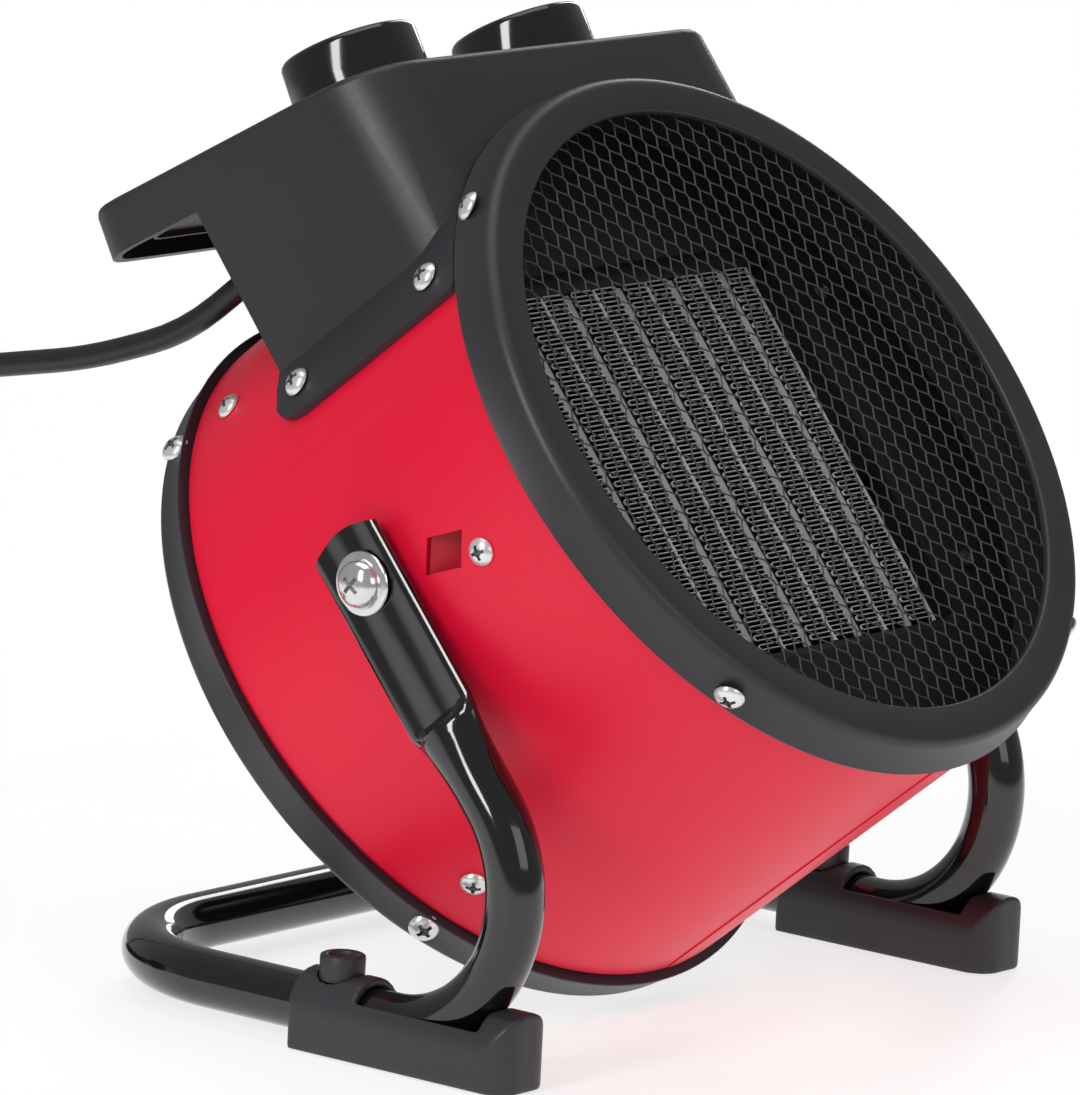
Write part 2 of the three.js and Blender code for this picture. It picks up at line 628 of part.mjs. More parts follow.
const armReach = Math.sqrt((CASING_INNER * cos(Math.PI / ROUND) - TOUCH_GAP) ** 2 - (BRACKET_ARM_WIDTH / 2) ** 2);
const bracketRear = BRACKET_PLACE - BRACKET_THICKNESS;
const halfArm = BRACKET_ARM_WIDTH / 2;
const bracketArms = screwAngles.map((angle) => joined(
  facePrism(rectangle(0, armReach, -halfArm, halfArm), bracketRear, BRACKET_PLACE),
  facePrism(rectangle(armReach - BRACKET_THICKNESS, armReach, -halfArm, halfArm), BRACKET_PLACE - BRACKET_TAB, BRACKET_PLACE),
).rotate([0, -angle / degree, 0]));
const bracketPlate = axisBore(BRACKET_HUB_RADIUS, BRACKET_THICKNESS, 28)
  .translate([0, -(BRACKET_PLACE + bracketRear) / 2, 0]);
const bossHole = axisBore(MOTOR_BOSS_RADIUS + TOUCH_GAP, 4 * FRONT_FACE, 24);
piece(drum, 'motor_bracket', without(joined(bracketPlate, bracketArms), bossHole), 'steel');

// a blade section lies on a cylinder round the drum axis: chord, pitch and camber vary along the blade
function bladeSection(radius, t) {
  const chord = mix(BLADE_ROOT_CHORD, BLADE_TIP_CHORD, smooth(t));
  const pitch = mix(BLADE_ROOT_PITCH, BLADE_TIP_PITCH, t);
  const half = BLADE_THICKNESS / 2;
  const line = [[-0.5, 0], [0, BLADE_CAMBER], [0.5, 0]];
  const loop = [...line.map(([c, h]) => [c, h - half]), ...line.reverse().map(([c, h]) => [c, h + half])];
  return loop.map(([c, h]) => {
    const tangential = (c * chord * cos(pitch) - h * sin(pitch)) / radius;
    const axialPlace = (HUB_FRONT + HUB_REAR) / 2 - c * chord * sin(pitch) - h * cos(pitch);
    return new THREE.Vector3(radius * cos(tangential), -axialPlace, radius * sin(tangential));
  });
}
const bladeRoot = FAN_HUB_RADIUS - 2;
const blade = loft([0, 0.25, 0.5, 0.75, 1].map((t) => bladeSection(mix(bladeRoot, FAN_RADIUS, t), t)));
const blades = Array.from({ length: FAN_BLADES }, (_, k) => blade.rotate([0, 360 * k / FAN_BLADES, 0]));
const hubProfile = [
  [HUB_BORE, HUB_FRONT],
  [FAN_HUB_RADIUS, HUB_FRONT],
  [FAN_HUB_RADIUS, HUB_REAR + 2],
  [FAN_HUB_RADIUS - 2, HUB_REAR],
  [HUB_BORE, HUB_REAR],
  [HUB_BORE, HUB_FRONT],
];
const hubBore = axisBore(HUB_BORE, 4 * FRONT_FACE, 20);
piece(drum, 'fan_impeller', without(joined(axial(hubProfile, 28), blades), hubBore), 'fan');
piece(drum, 'motor_shaft', axial([
  [0, SHAFT_END - TOUCH_GAP],
  [SHAFT_RADIUS, SHAFT_END - TOUCH_GAP],
  [SHAFT_RADIUS, HUB_REAR],
  [0, HUB_REAR],
], 16), 'steel');

// ---------------------------------------------------------------- control box with its rear hood

const LEAN = TILT - PANEL_TILT;
const onPanel = (t, w) => [t * cos(LEAN) + w * sin(LEAN), w * cos(LEAN) - t * sin(LEAN)];
const heightUnder = (a, w) => (w - a * sin(LEAN)) / cos(LEAN);
const BOX_SEAT = DRUM_RADIUS + TOUCH_GAP;
const BOX_FLOOR = DRUM_RADIUS / 2;

// the hood's rear wall stands square to the panel, the other walls square to the drum axis
const tipped = (a, w) => onPanel((a - BOX_TOP * sin(LEAN)) / cos(LEAN), w);
const planRing = (plan, w) => plan.map(([x, a]) => {
  const [place, height] = a < BOX_REAR - 1 ? tipped(a, w) : [a, heightUnder(a, w)];
  return new THREE.Vector3(x, -place, height);
});
function boxPlan(inset) {
  const [front, rear] = [BOX_FRONT_CORNER - inset, BOX_REAR_CORNER - inset];
  const half = BOX_HALF_WIDTH - inset;
  return roundedRectangle(-half, half, HOOD_REAR + inset, BOX_FRONT - inset, [rear, rear, front, front]);
}
const boxOuter = loft([
  planRing(boxPlan(0), BOX_FLOOR),
  ...[0, 30, 60, 90].map((d) => planRing(
    boxPlan(BOX_EDGE * (1 - cos(d * degree))),
    BOX_TOP - BOX_EDGE * (1 - sin(d * degree)),
  )),
]);

const innerHalf = BOX_HALF_WIDTH - BOX_WALL;
const innerFront = BOX_FRONT_CORNER - BOX_WALL;
const innerRear = BOX_REAR_CORNER - BOX_WALL;
const cavityPlan = roundedRectangle(
  -innerHalf,
  innerHalf,
  BOX_REAR + BOX_WALL,
  BOX_FRONT - BOX_WALL,
  [2, 2, innerFront, innerFront],
);
const hoodPlan = roundedRectangle(-innerHalf, innerHalf, HOOD_REAR + BOX_WALL, BOX_REAR, [innerRear, innerRear, 0, 0]);
const cavities = [cavityPlan, hoodPlan].map((plan) => loft([planRing(plan, BOX_FLOOR), planRing(plan, BOX_TOP - BOX_WALL)]));
const behind = 2 * HOOD_REAR;
const underHood = sidePrism([
  [BOX_REAR, BOX_FLOOR - 1],
  [BOX_REAR, heightUnder(BOX_REAR, BOX_TOP - HOOD_DEPTH)],
  [behind, heightUnder(behind, BOX_TOP - HOOD_DEPTH)],
  [behind, BOX_FLOOR - 1],
], -2 * BOX_HALF_WIDTH, 2 * BOX_HALF_WIDTH);
const drumSpace = axisBore(BOX_SEAT, 6 * FRONT_FACE, ROUND);

// flanges follow the casing on both sides of the box
const flangeRing = ringOf([
  [BOX_SEAT, BOX_FRONT],
  [BOX_SEAT + FLANGE_THICKNESS, BOX_FRONT],
  [BOX_SEAT + FLANGE_THICKNESS, BOX_REAR - FLANGE_STEP],
  [BOX_SEAT, BOX_REAR - FLANGE_STEP],
]);
const flangeMask = (() => {
  const reach = (angle) => BOX_SEAT * sin(angle - FLANGE_SCREW_ANGLE);
  const plan = roundedRectangle(
    reach(FLANGE_INNER_ANGLE),
    reach(FLANGE_OUTER_ANGLE),
    BOX_REAR - FLANGE_STEP - 1,
    BOX_FRONT + 1,
    [0, FLANGE_CORNER, FLANGE_FRONT_CORNER, 0],
    4,
  ).map(([s, a]) => [s, -a]);
  return prism(plan, DRUM_RADIUS - 5, DRUM_RADIUS + 15).rotate([0, FLANGE_SCREW_ANGLE / degree, 0]);
})();
const flange = flangeRing.intersect(flangeMask);

const panelUp = new THREE.Vector3(0, -sin(LEAN), cos(LEAN));
const knobSeats = [-1, 1].map((side) => {
  const [a, u] = onPanel(KNOB_SETBACK, BOX_TOP);
  return new THREE.Vector3(side * KNOB_SPACING, -a, u);
});
const bushHoles = knobSeats.map((seat) => aimed(axisBore(BUSH_RADIUS + TOUCH_GAP, 4 * BOX_WALL), panelUp, seat));
const cordExit = new THREE.Vector3(-CORD_SIDE, -BOX_REAR, CORD_RISE);
const glandHole = axisBore(GLAND_NECK_RADIUS + TOUCH_GAP, 4 * BOX_WALL).translate(cordExit.toArray());

const boxShell = without(boxOuter, cavities, underHood, drumSpace);
const boxBody = without(joined(boxShell, flange, flipped(flange)), allScrewHoles, bushHoles, glandHole);
piece(drum, 'control_box', boxBody, 'mould');
for (const one of flangeScrews) piece(drum, one.name, screw(one), 'zinc');

// switch and thermostat hang under the panel: height 0 is the panel's outer face
const UNDER_PANEL = -BOX_WALL - TOUCH_GAP;
const controlBore = CONTROL_SHAFT_RADIUS + CONTROL_SHAFT_PLAY;
const bush = turned([
  [0, BUSH_RISE],
  [BUSH_RADIUS, BUSH_RISE],
  [BUSH_RADIUS, UNDER_PANEL - 1],
  [0, UNDER_PANEL - 1],
], 20);
const bore = axisBore(controlBore, 2 * (CONTROL_SHAFT_DEPTH - UNDER_PANEL), 16);
const switchHalf = SWITCH_SIDE / 2;
const switchBody = block(-switchHalf, switchHalf, UNDER_PANEL - SWITCH_DEPTH, UNDER_PANEL, -switchHalf, switchHalf);
const thermostatBody = turned([
  [0, UNDER_PANEL],
  [THERMOSTAT_RADIUS, UNDER_PANEL],
  [THERMOSTAT_RADIUS, UNDER_PANEL - THERMOSTAT_DEPTH],
  [0, UNDER_PANEL - THERMOSTAT_DEPTH],
], 24);
const controlShaft = turned([
  [0, KNOB_HEIGHT - KNOB_SKIN - TOUCH_GAP],
  [CONTROL_SHAFT_RADIUS, KNOB_HEIGHT - KNOB_SKIN - TOUCH_GAP],
  [CONTROL_SHAFT_RADIUS, UNDER_PANEL - CONTROL_SHAFT_DEPTH + TOUCH_GAP],
  [0, UNDER_PANEL - CONTROL_SHAFT_DEPTH + TOUCH_GAP],
], 16);
const knobBore = CONTROL_SHAFT_RADIUS + TOUCH_GAP;
const knob = turned([
  [0, KNOB_HEIGHT - KNOB_SKIN],
  [knobBore, KNOB_HEIGHT - KNOB_SKIN],
  [knobBore, BUSH_RISE + KNOB_PLAY],
  [KNOB_BOSS_RADIUS, BUSH_RISE + KNOB_PLAY],
  [KNOB_BOSS_RADIUS, KNOB_HEIGHT - KNOB_SKIN],
  [KNOB_RADIUS - KNOB_SKIN, KNOB_HEIGHT - KNOB_SKIN],
  [KNOB_RADIUS - KNOB_SKIN, KNOB_PLAY],
  [KNOB_RADIUS, KNOB_PLAY],
  [KNOB_RADIUS, KNOB_HEIGHT - KNOB_EDGE],
  [KNOB_RADIUS - KNOB_EDGE, KNOB_HEIGHT],
  [0, KNOB_HEIGHT],
], 24);
const [leftSeat, rightSeat] = knobSeats;
piece(drum, 'thermostat', aimed(without(joined(thermostatBody, bush), bore), panelUp, leftSeat), 'resin');
piece(drum, 'power_switch', aimed(without(joined(switchBody, bush), bore), panelUp, rightSeat), 'plastic');
piece(drum, 'thermostat_shaft', aimed(controlShaft, panelUp, leftSeat), 'brass');
piece(drum, 'switch_shaft', aimed(controlShaft, panelUp, rightSeat), 'brass');
piece(drum, 'thermostat_knob', aimed(knob, panelUp, leftSeat), 'gloss');
piece(drum, 'power_knob', aimed(knob, panelUp, rightSeat), 'gloss');

const glandTip = TOUCH_GAP + GLAND_FLANGE + GLAND_LENGTH;
piece(drum, 'cord_gland', turned([
  [0, UNDER_PANEL - GLAND_FLANGE],
  [GLAND_ROOT_RADIUS, UNDER_PANEL - GLAND_FLANGE],
  [GLAND_ROOT_RADIUS, UNDER_PANEL],
  [GLAND_NECK_RADIUS, UNDER_PANEL],
  [GLAND_NECK_RADIUS, TOUCH_GAP],
  [GLAND_FLANGE_RADIUS, TOUCH_GAP],
  [GLAND_FLANGE_RADIUS, TOUCH_GAP + GLAND_FLANGE],
  [GLAND_ROOT_RADIUS, TOUCH_GAP + GLAND_FLANGE],
  [GLAND_TIP_RADIUS, glandTip],
  [0, glandTip],
], 16).translate(cordExit.toArray()), 'rubber');

// ---------------------------------------------------------------- pivot

const strapOuter = LEG_SPACING + FLAT_OFFSET + FLAT_THICKNESS / 2;
const strapInner = strapOuter - FLAT_THICKNESS;
const nutRadius = NUT_ACROSS_CORNERS / 2;
const nutFace = Math.sqrt(CASING_INNER ** 2 - nutRadius ** 2) * cos(Math.PI / ROUND) - TOUCH_GAP;
const boltEnd = nutFace - NUT_THICKNESS - 1.5;
const headBase = strapOuter + TOUCH_GAP;
const domeBase = headBase + BOLT_FLANGE;
const dome = [90, 60, 30, 0].map((d) => [
  BOLT_DOME_RADIUS * cos(d * degree),
  domeBase + BOLT_DOME * (0.35 + 0.65 * sin(d * degree)),
]);
const bolt = turned([
  ...dome,
  [BOLT_DOME_RADIUS, domeBase],
  [BOLT_FLANGE_RADIUS, domeBase - BOLT_FLANGE / 3],
  [BOLT_FLANGE_RADIUS, headBase],
  [BOLT_RADIUS, headBase],
  [BOLT_RADIUS, boltEnd],
  [0, boltEnd],
], 16);
const threadClear = axisBore(BOLT_RADIUS + TOUCH_GAP, 4 * LEG_SPACING, 16);
const washer = turned([
  [BOLT_RADIUS + BOLT_HOLE_PLAY, DRUM_RADIUS + TOUCH_GAP],
  [WASHER_RADIUS, DRUM_RADIUS + TOUCH_GAP],
  [WASHER_RADIUS, strapInner - TOUCH_GAP],
  [BOLT_RADIUS + BOLT_HOLE_PLAY, strapInner - TOUCH_GAP],
  [BOLT_RADIUS + BOLT_HOLE_PLAY, DRUM_RADIUS + TOUCH_GAP],
], 20);
const nut = axisBore(nutRadius, NUT_THICKNESS, 6).translate([0, nutFace - NUT_THICKNESS / 2, 0]).subtract(threadClear);
for (const [name, turn] of [['left', 90], ['right', -90]]) {
  piece(drum, `pivot_bolt_${name}`, bolt.rotate([0, 0, turn]), 'zinc');
  piece(drum, `pivot_washer_${name}`, washer.rotate([0, 0, turn]), 'plastic');
  piece(drum, `pivot_nut_${name}`, nut.rotate([0, 0, turn]), 'zinc');
}

// ---------------------------------------------------------------- stand

const FLOOR_AXIS = FOOT_FLOOR + TOUCH_GAP + TUBE_RADIUS;
const bendHeight = FLOOR_AXIS + BEND_RADIUS;
const bendPlace = (BEND_RADIUS - (PIVOT_HEIGHT - bendHeight) * cos(LEG_LEAN)) / sin(LEG_LEAN);

// a station of the bent tube: centre, direction, and how far it is flattened there
function station(centre, direction, flat = 0, bulge = 0) {
  return { centre, direction, flat, bulge };
}
const upright = (y, z) => new THREE.Vector3(-LEG_SPACING, y, z);
const legDown = new THREE.Vector3(0, -cos(LEG_LEAN), -sin(LEG_LEAN));
const alongLeg = (s) => upright(0, PIVOT_HEIGHT).addScaledVector(legDown, s);
const straightLeg = [
  station(alongLeg(-FLAT_END), legDown, 1, FLAT_END_BULGE),
  ...[0, 0.2, 0.4, 0.6, 0.8, 1].map((q) => station(alongLeg(FLAT_LENGTH + q * FLAT_NECK), legDown, (1 - q) ** 1.6)),
];
const frontTurn = 270 - (90 + LEG_LEAN / degree);
const frontBend = Array.from({ length: 12 }, (_, k) => {
  const angle = (90 + LEG_LEAN / degree + frontTurn * k / 11) * degree;
  const centre = upright(bendPlace + BEND_RADIUS * cos(angle), bendHeight + BEND_RADIUS * sin(angle));
  return station(centre, new THREE.Vector3(0, -sin(angle), cos(angle)));
});
const floorBend = Array.from({ length: 7 }, (_, k) => {
  const angle = (180 - 90 * k / 6) * degree;
  const centre = new THREE.Vector3(
    -LEG_SPACING + FLOOR_BEND_RADIUS * (1 + cos(angle)),
    CROSSBAR_SETBACK - FLOOR_BEND_RADIUS * (1 - sin(angle)),
    FLOOR_AXIS,
  );
  return station(centre, new THREE.Vector3(sin(angle), -cos(angle), 0));
});

const TUBE_SIDES = 16;
const flatEdge = FLAT_THICKNESS * 0.4;
function sectionPoint(k, flat, grow) {
  const [t, s] = [cos(2 * Math.PI * k / TUBE_SIDES), sin(2 * Math.PI * k / TUBE_SIDES)];
  const round = [(TUBE_RADIUS + grow) * t, (TUBE_RADIUS + grow) * s];
  const steep = Math.min(Math.abs(3 * t), 1);
  const side = FLAT_WIDTH / 2 - flatEdge;
  const width = steep < 1 ? side + flatEdge * Math.sqrt(1 - steep ** 2) : side * Math.abs(s) / Math.sqrt(8 / 9);
  const pressed = [Math.sign(t) * steep * FLAT_THICKNESS / 2, Math.sign(s) * width];
  return round.map((v, i) => mix(v, pressed[i], flat));
}
function tubeRing({ centre, direction, flat, bulge }, grow = 0) {
  const side = Math.abs(direction.z) > 1e-9
    ? new THREE.Vector3(1, 0, 0)
    : new THREE.Vector3(direction.y, -direction.x, 0);
  const other = direction.clone().cross(side);
  return Array.from({ length: TUBE_SIDES }, (_, k) => {
    const [thick, wide] = sectionPoint(k, flat, grow);
    const arch = bulge * (1 - (2 * wide / FLAT_WIDTH) ** 2);
    return centre.clone()
      .addScaledVector(side, thick - flat * FLAT_OFFSET)
      .addScaledVector(other, wide)
      .addScaledVector(direction, -arch);
  });
}
const half = [...straightLeg, ...frontBend, ...floorBend];
const halfRings = half.map((one) => tubeRing(one));
const mirroredRings = [...halfRings].reverse().map((ring) => ring.map((p) => new THREE.Vector3(-p.x, p.y, p.z)));
const pivotBores = boltHoles.translate([0, 0, PIVOT_HEIGHT]);
piece(stand, 'stand_tube', without(loft([...halfRings, ...mirroredRings]), pivotBores), 'tube');

// foot: arched block round the tube, open in the middle, with a dished peg over its rear arch
const footHalf = FOOT_WIDTH / 2;
const archTop = Array.from({ length: 13 }, (_, k) => {
  const angle = 180 * k / 12 * degree;
  return [footHalf * cos(angle), FLOOR_AXIS + footHalf * sin(angle)];
});
const arch = facePrism([[-footHalf, 0], [footHalf, 0], ...archTop], -FOOT_REAR, -FOOT_FRONT);
const footPlan = prism(roundedRectangle(
  -footHalf,
  footHalf,
  FOOT_FRONT,
  FOOT_REAR,
  [FOOT_CORNER, FOOT_CORNER, FOOT_REAR_CORNER, FOOT_REAR_CORNER],
), -1, 2 * bendHeight);
const slotHalf = TUBE_RADIUS + 2 * TOUCH_GAP;
const trough = joined(
  block(-FOOT_WIDTH, FOOT_WIDTH, TROUGH_FRONT, TROUGH_REAR, FOOT_SIDE_HEIGHT, 2 * bendHeight),
  block(-slotHalf, slotHalf, TROUGH_FRONT, TROUGH_REAR, FLOOR_AXIS, 2 * bendHeight),
);
const channel = loft([...frontBend, floorBend[0]].map((one) => tubeRing(one, TOUCH_GAP))).translate([LEG_SPACING, 0, 0]);
const pegBase = FLOOR_AXIS + TUBE_RADIUS + TOUCH_GAP;
const pegTop = FLOOR_AXIS + footHalf + PEG_RISE;
const pegHole = axisBore(PEG_RADIUS + TOUCH_GAP, 2 * (pegTop - FLOOR_AXIS)).rotate([90, 0, 0])
  .translate([0, PEG_SETBACK, pegTop]);
const foot = without(arch.intersect(footPlan), trough, channel, pegHole);
const peg = turned([
  [0, pegBase],
  [PEG_RADIUS, pegBase],
  [PEG_RADIUS, pegTop - PEG_EDGE],
  [PEG_RADIUS - PEG_EDGE, pegTop],
  [PEG_DISH_RADIUS, pegTop],
  [PEG_DISH_RADIUS - PEG_EDGE, pegTop - PEG_DISH],
  [0, pegTop - PEG_DISH],
], 16).rotate([90, 0, 0]).translate([0, PEG_SETBACK, 0]);
for (const [name, x] of [['left', -LEG_SPACING], ['right', LEG_SPACING]]) {
  piece(stand, `foot_${name}`, foot.translate([x, 0, 0]), 'mould');
  piece(stand, `foot_peg_${name}`, peg.translate([x, 0, 0]), 'mould');
}

// ---------------------------------------------------------------- mains cord, coiled on the floor, and plug

class Route extends THREE.Curve {
  constructor(points) {
    super();
    this.points = points;
  }

  getPoint(t, target = new THREE.Vector3()) {
    const place = Math.min(Math.max(t, 0), 1) * (this.points.length - 1);
    const k = Math.min(Math.floor(place), this.points.length - 2);
    return target.lerpVectors(this.points[k], this.points[k + 1], place - k);
  }

  getPointAt(u, target) {
    return this.getPoint(u, target);
  }

  getTangentAt(u, target) {
    return this.getTangent(u, target);
  }
}
const runLength = (points) => points.slice(1).reduce((sum, p, k) => sum + p.distanceTo(points[k]), 0);
function cable(points, radius, sides) {
  const circle = Array.from({ length: sides }, (_, k) => {
    const angle = 2 * Math.PI * k / sides;
    return [radius * cos(angle), radius * sin(angle)];
  });
  return toSolid(new THREE.ExtrudeGeometry(outline(circle), {
    steps: points.length - 1,
    bevelEnabled: false,
    extrudePath: new Route(points),
  }));
}

// straight runs between corners, each corner rounded to its radius
function filleted(corners, step) {
  const points = [corners[0].place];
  for (let k = 1; k + 1 < corners.length; k += 1) {
    const { place, radius } = corners[k];
    const into = place.clone().sub(corners[k - 1].place).normalize();
    const out = corners[k + 1].place.clone().sub(place).normalize();
    const turn = into.angleTo(out);
    const reach = radius * Math.tan(turn / 2);
    const inward = out.clone().addScaledVector(into, -into.dot(out)).normalize();
    const start = place.clone().addScaledVector(into, -reach);
    const count = Math.max(2, Math.round(radius * turn / step));
    for (let i = 0; i <= count; i += 1) {
      const angle = turn * i / count;
      points.push(start.clone().addScaledVector(into, radius * sin(angle))
        .addScaledVector(inward, radius * (1 - cos(angle))));
    }
  }
  points.push(corners[corners.length - 1].place);
  return points;
}

const CORD_DIAMETER = 2 * CORD_RADIUS;
const cordFloor = CORD_RADIUS + TOUCH_GAP;
const [exitY, exitZ] = [cordExit.y + glandTip + TOUCH_GAP, CORD_RISE];
const cordStart = new THREE.Vector3(
  -CORD_SIDE,
  exitY * cos(TILT) + exitZ * sin(TILT),
  PIVOT_HEIGHT - exitY * sin(TILT) + exitZ * cos(TILT),
);
const inCordPlane = (y, z, radius) => ({ place: new THREE.Vector3(-CORD_SIDE, y, z), radius });
const cordDown = new THREE.Vector3(0, cos(TILT), -sin(TILT));
const firstCorner = cordStart.clone().addScaledVector(cordDown, CORD_FIRST_RUN);
const secondCorner = firstCorner.clone()
  .add(new THREE.Vector3(0, cos(CORD_SECOND_SLOPE), -sin(CORD_SECOND_SLOPE)).multiplyScalar(CORD_SECOND_RUN));
const fallPlace = COIL_SETBACK + CORD_DIAMETER + CORD_FLOOR_RADIUS;
const thirdCorner = inCordPlane(
  fallPlace,
  secondCorner.z - (fallPlace - secondCorner.y) * Math.tan(CORD_THIRD_SLOPE),
  CORD_FALL_RADIUS,
);
const coilStartY = COIL_SETBACK + CORD_DIAMETER;
const freeCord = filleted([
  { place: cordStart },
  { place: firstCorner, radius: CORD_FIRST_RADIUS },
  { place: secondCorner, radius: CORD_SECOND_RADIUS },
  thirdCorner,
  inCordPlane(fallPlace, cordFloor, CORD_FLOOR_RADIUS - TOUCH_GAP - 0.01),
  inCordPlane(coilStartY + TOUCH_GAP, cordFloor),
], 2 * CORD_RADIUS);

// the coil spirals in on the floor, climbs a layer and spirals out again; its radius follows from the cord's length
const coilLayer = COIL_PITCH;
const turnBack = COIL_LOOPS_PER_LAYER;
const leadArc = (pitch) => CORD_LEAD_RADIUS * pitch;
let plugPitch = 0;
const coilTop = cordFloor + coilLayer;
for (let k = 0; k < 40; k += 1) {
  const tail = coilTop + CORD_LEAD_RADIUS * (1 - cos(plugPitch)) + (CORD_DIAMETER + TOUCH_GAP) * sin(plugPitch);
  const reach = Math.hypot(PLUG_SHOULDER, PLUG_RADIUS);
  plugPitch = Math.acos((tail - TOUCH_GAP) / reach) - Math.atan2(PLUG_SHOULDER, PLUG_RADIUS);
}
const coiled = CORD_LENGTH - runLength(freeCord) - 2 * CORD_DIAMETER - leadArc(plugPitch) - 2 * TOUCH_GAP;
const inward = turnBack ** 2 - (2 * turnBack - COIL_TURNS) ** 2 / 2;
const coilOuter = (coiled / (2 * Math.PI) + COIL_PITCH * inward) / COIL_TURNS;
const coilMiddle = new THREE.Vector3(-CORD_SIDE - coilOuter, COIL_SETBACK, 0);
const COIL_STEPS = 24;
const coilPoints = Array.from({ length: COIL_TURNS * COIL_STEPS + 1 }, (_, k) => {
  const turns = k / COIL_STEPS;
  const radius = coilOuter - COIL_PITCH * Math.min(turns, 2 * turnBack - turns);
  const climb = smooth(Math.min(Math.max((turns - turnBack + 0.25) / 0.5, 0), 1));
  const angle = -2 * Math.PI * turns;
  return new THREE.Vector3(radius * cos(angle), radius * sin(angle), cordFloor + coilLayer * climb).add(coilMiddle);
});
const spiralEnd = coilPoints[coilPoints.length - 1];
const lead = [1, 2, 3].map((k) => {
  const angle = plugPitch * k / 3;
  return spiralEnd.clone().add(new THREE.Vector3(-sin(angle), 0, 1 - cos(angle)).multiplyScalar(CORD_LEAD_RADIUS));
});
const plugAxis = new THREE.Vector3(-cos(plugPitch), 0, sin(plugPitch));
const leadEnd = lead[2].clone().addScaledVector(plugAxis, CORD_DIAMETER);
const coilStart = coilPoints[0].clone().setY(coilStartY);
const coilRoute = [coilStart, ...coilPoints, ...lead, leadEnd];

function leastGap(points, skip) {
  const middles = points.slice(1).flatMap((p, k) => [0, 0.5].map((t) => points[k].clone().lerp(p, t)));
  let least = Infinity;
  for (let i = 0; i < middles.length; i += 1) {
    for (let j = i + skip; j < middles.length; j += 1) least = Math.min(least, middles[i].distanceTo(middles[j]));
  }
  return least - CORD_DIAMETER;
}

piece(stand, 'power_cord', cable(freeCord, CORD_RADIUS, 8), 'rubber');
piece(stand, 'cord_coil', cable(coilRoute, CORD_RADIUS, 6), 'rubber');

const plugRoot = leadEnd.clone().addScaledVector(plugAxis, TOUCH_GAP);
const plugFace = PLUG_TAIL_LENGTH + PLUG_LENGTH;
piece(stand, 'mains_plug', aimed(turned([
  [0, 0],
  [PLUG_TAIL_RADIUS * 0.8, 0],
  [PLUG_TAIL_RADIUS, PLUG_TAIL_LENGTH],
  [PLUG_RADIUS * 0.72, PLUG_TAIL_LENGTH + 3],
  [PLUG_RADIUS, PLUG_SHOULDER],
  [PLUG_RADIUS, plugFace],
  [0, plugFace],
], 24), plugAxis, plugRoot), 'rubber');
[-1, 1].forEach((side, k) => {
  const pin = turned([
    [0, plugFace + TOUCH_GAP],
    [PIN_RADIUS, plugFace + TOUCH_GAP],
    [PIN_RADIUS, plugFace + PIN_LENGTH - 1],
    [PIN_RADIUS - 1, plugFace + PIN_LENGTH],
    [0, plugFace + PIN_LENGTH],
  ], 12);
  const place = plugRoot.clone().add(new THREE.Vector3(0, side * PIN_SPACING / 2, 0));
  piece(stand, `plug_pin_${k + 1}`, aimed(pin, plugAxis, place), 'zinc');
});

// ---------------------------------------------------------------- place the whole on the floor, centred

const cordNames = new Set(['power_cord', 'cord_coil', 'mains_plug', 'plug_pin_1', 'plug_pin_2']);
model.updateMatrixWorld(true);
const box = new THREE.Box3();
let facets = 0;
let pieces = 0;
model.traverse((one) => {
  if (!one.isMesh) return;
  pieces += 1;
  facets += one.geometry.getAttribute('position').count / 3;
  if (!cordNames.has(one.name)) box.union(new THREE.Box3().setFromObject(one, true));
});
const shift = -(box.min.y + box.max.y) / 2;
model.position.y = shift;
model.updateMatrixWorld(true);
const metres = (v) => v.toArray().map((n) => Number((n / 1000).toFixed(6)));
const inModel = (v) => metres(drum.localToWorld(v.clone()));
const turnedInto = (v) => v.clone().applyQuaternion(drum.quaternion).toArray().map((n) => Number(n.toFixed(6)));
console.log(JSON.stringify({
  pieces,
  facets,
  size: metres(box.getSize(new THREE.Vector3())),
  low: Number(box.min.z.toFixed(3)),
  shift: Number(shift.toFixed(3)),
  pivot: inModel(new THREE.Vector3()),
  drum_axis: turnedInto(new THREE.Vector3(0, -1, 0)),
  fan: inModel(new THREE.Vector3(0, -HUB_FRONT, 0)),
  panel_axis: turnedInto(panelUp),
  knob_left: inModel(leftSeat),
  knob_right: inModel(rightSeat),
  cord_free_mm: Number(runLength(freeCord).toFixed(1)),
  cord_total_mm: Number((runLength(freeCord) + runLength(coilRoute) + 2 * TOUCH_GAP).toFixed(1)),
  coil_outer_mm: Number(coilOuter.toFixed(2)),
  coil_least_gap_mm: Number(leastGap(coilRoute, COIL_STEPS).toFixed(2)),
  plug_pitch_deg: Number((plugPitch / degree).toFixed(2)),
  cord_route: freeCord.map((p) => metres(p.clone().setY(p.y + shift))).filter((_, k) => k % 4 === 0),
}));

export default model;
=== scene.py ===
import json
import math

import bpy
from mathutils import Matrix, Vector


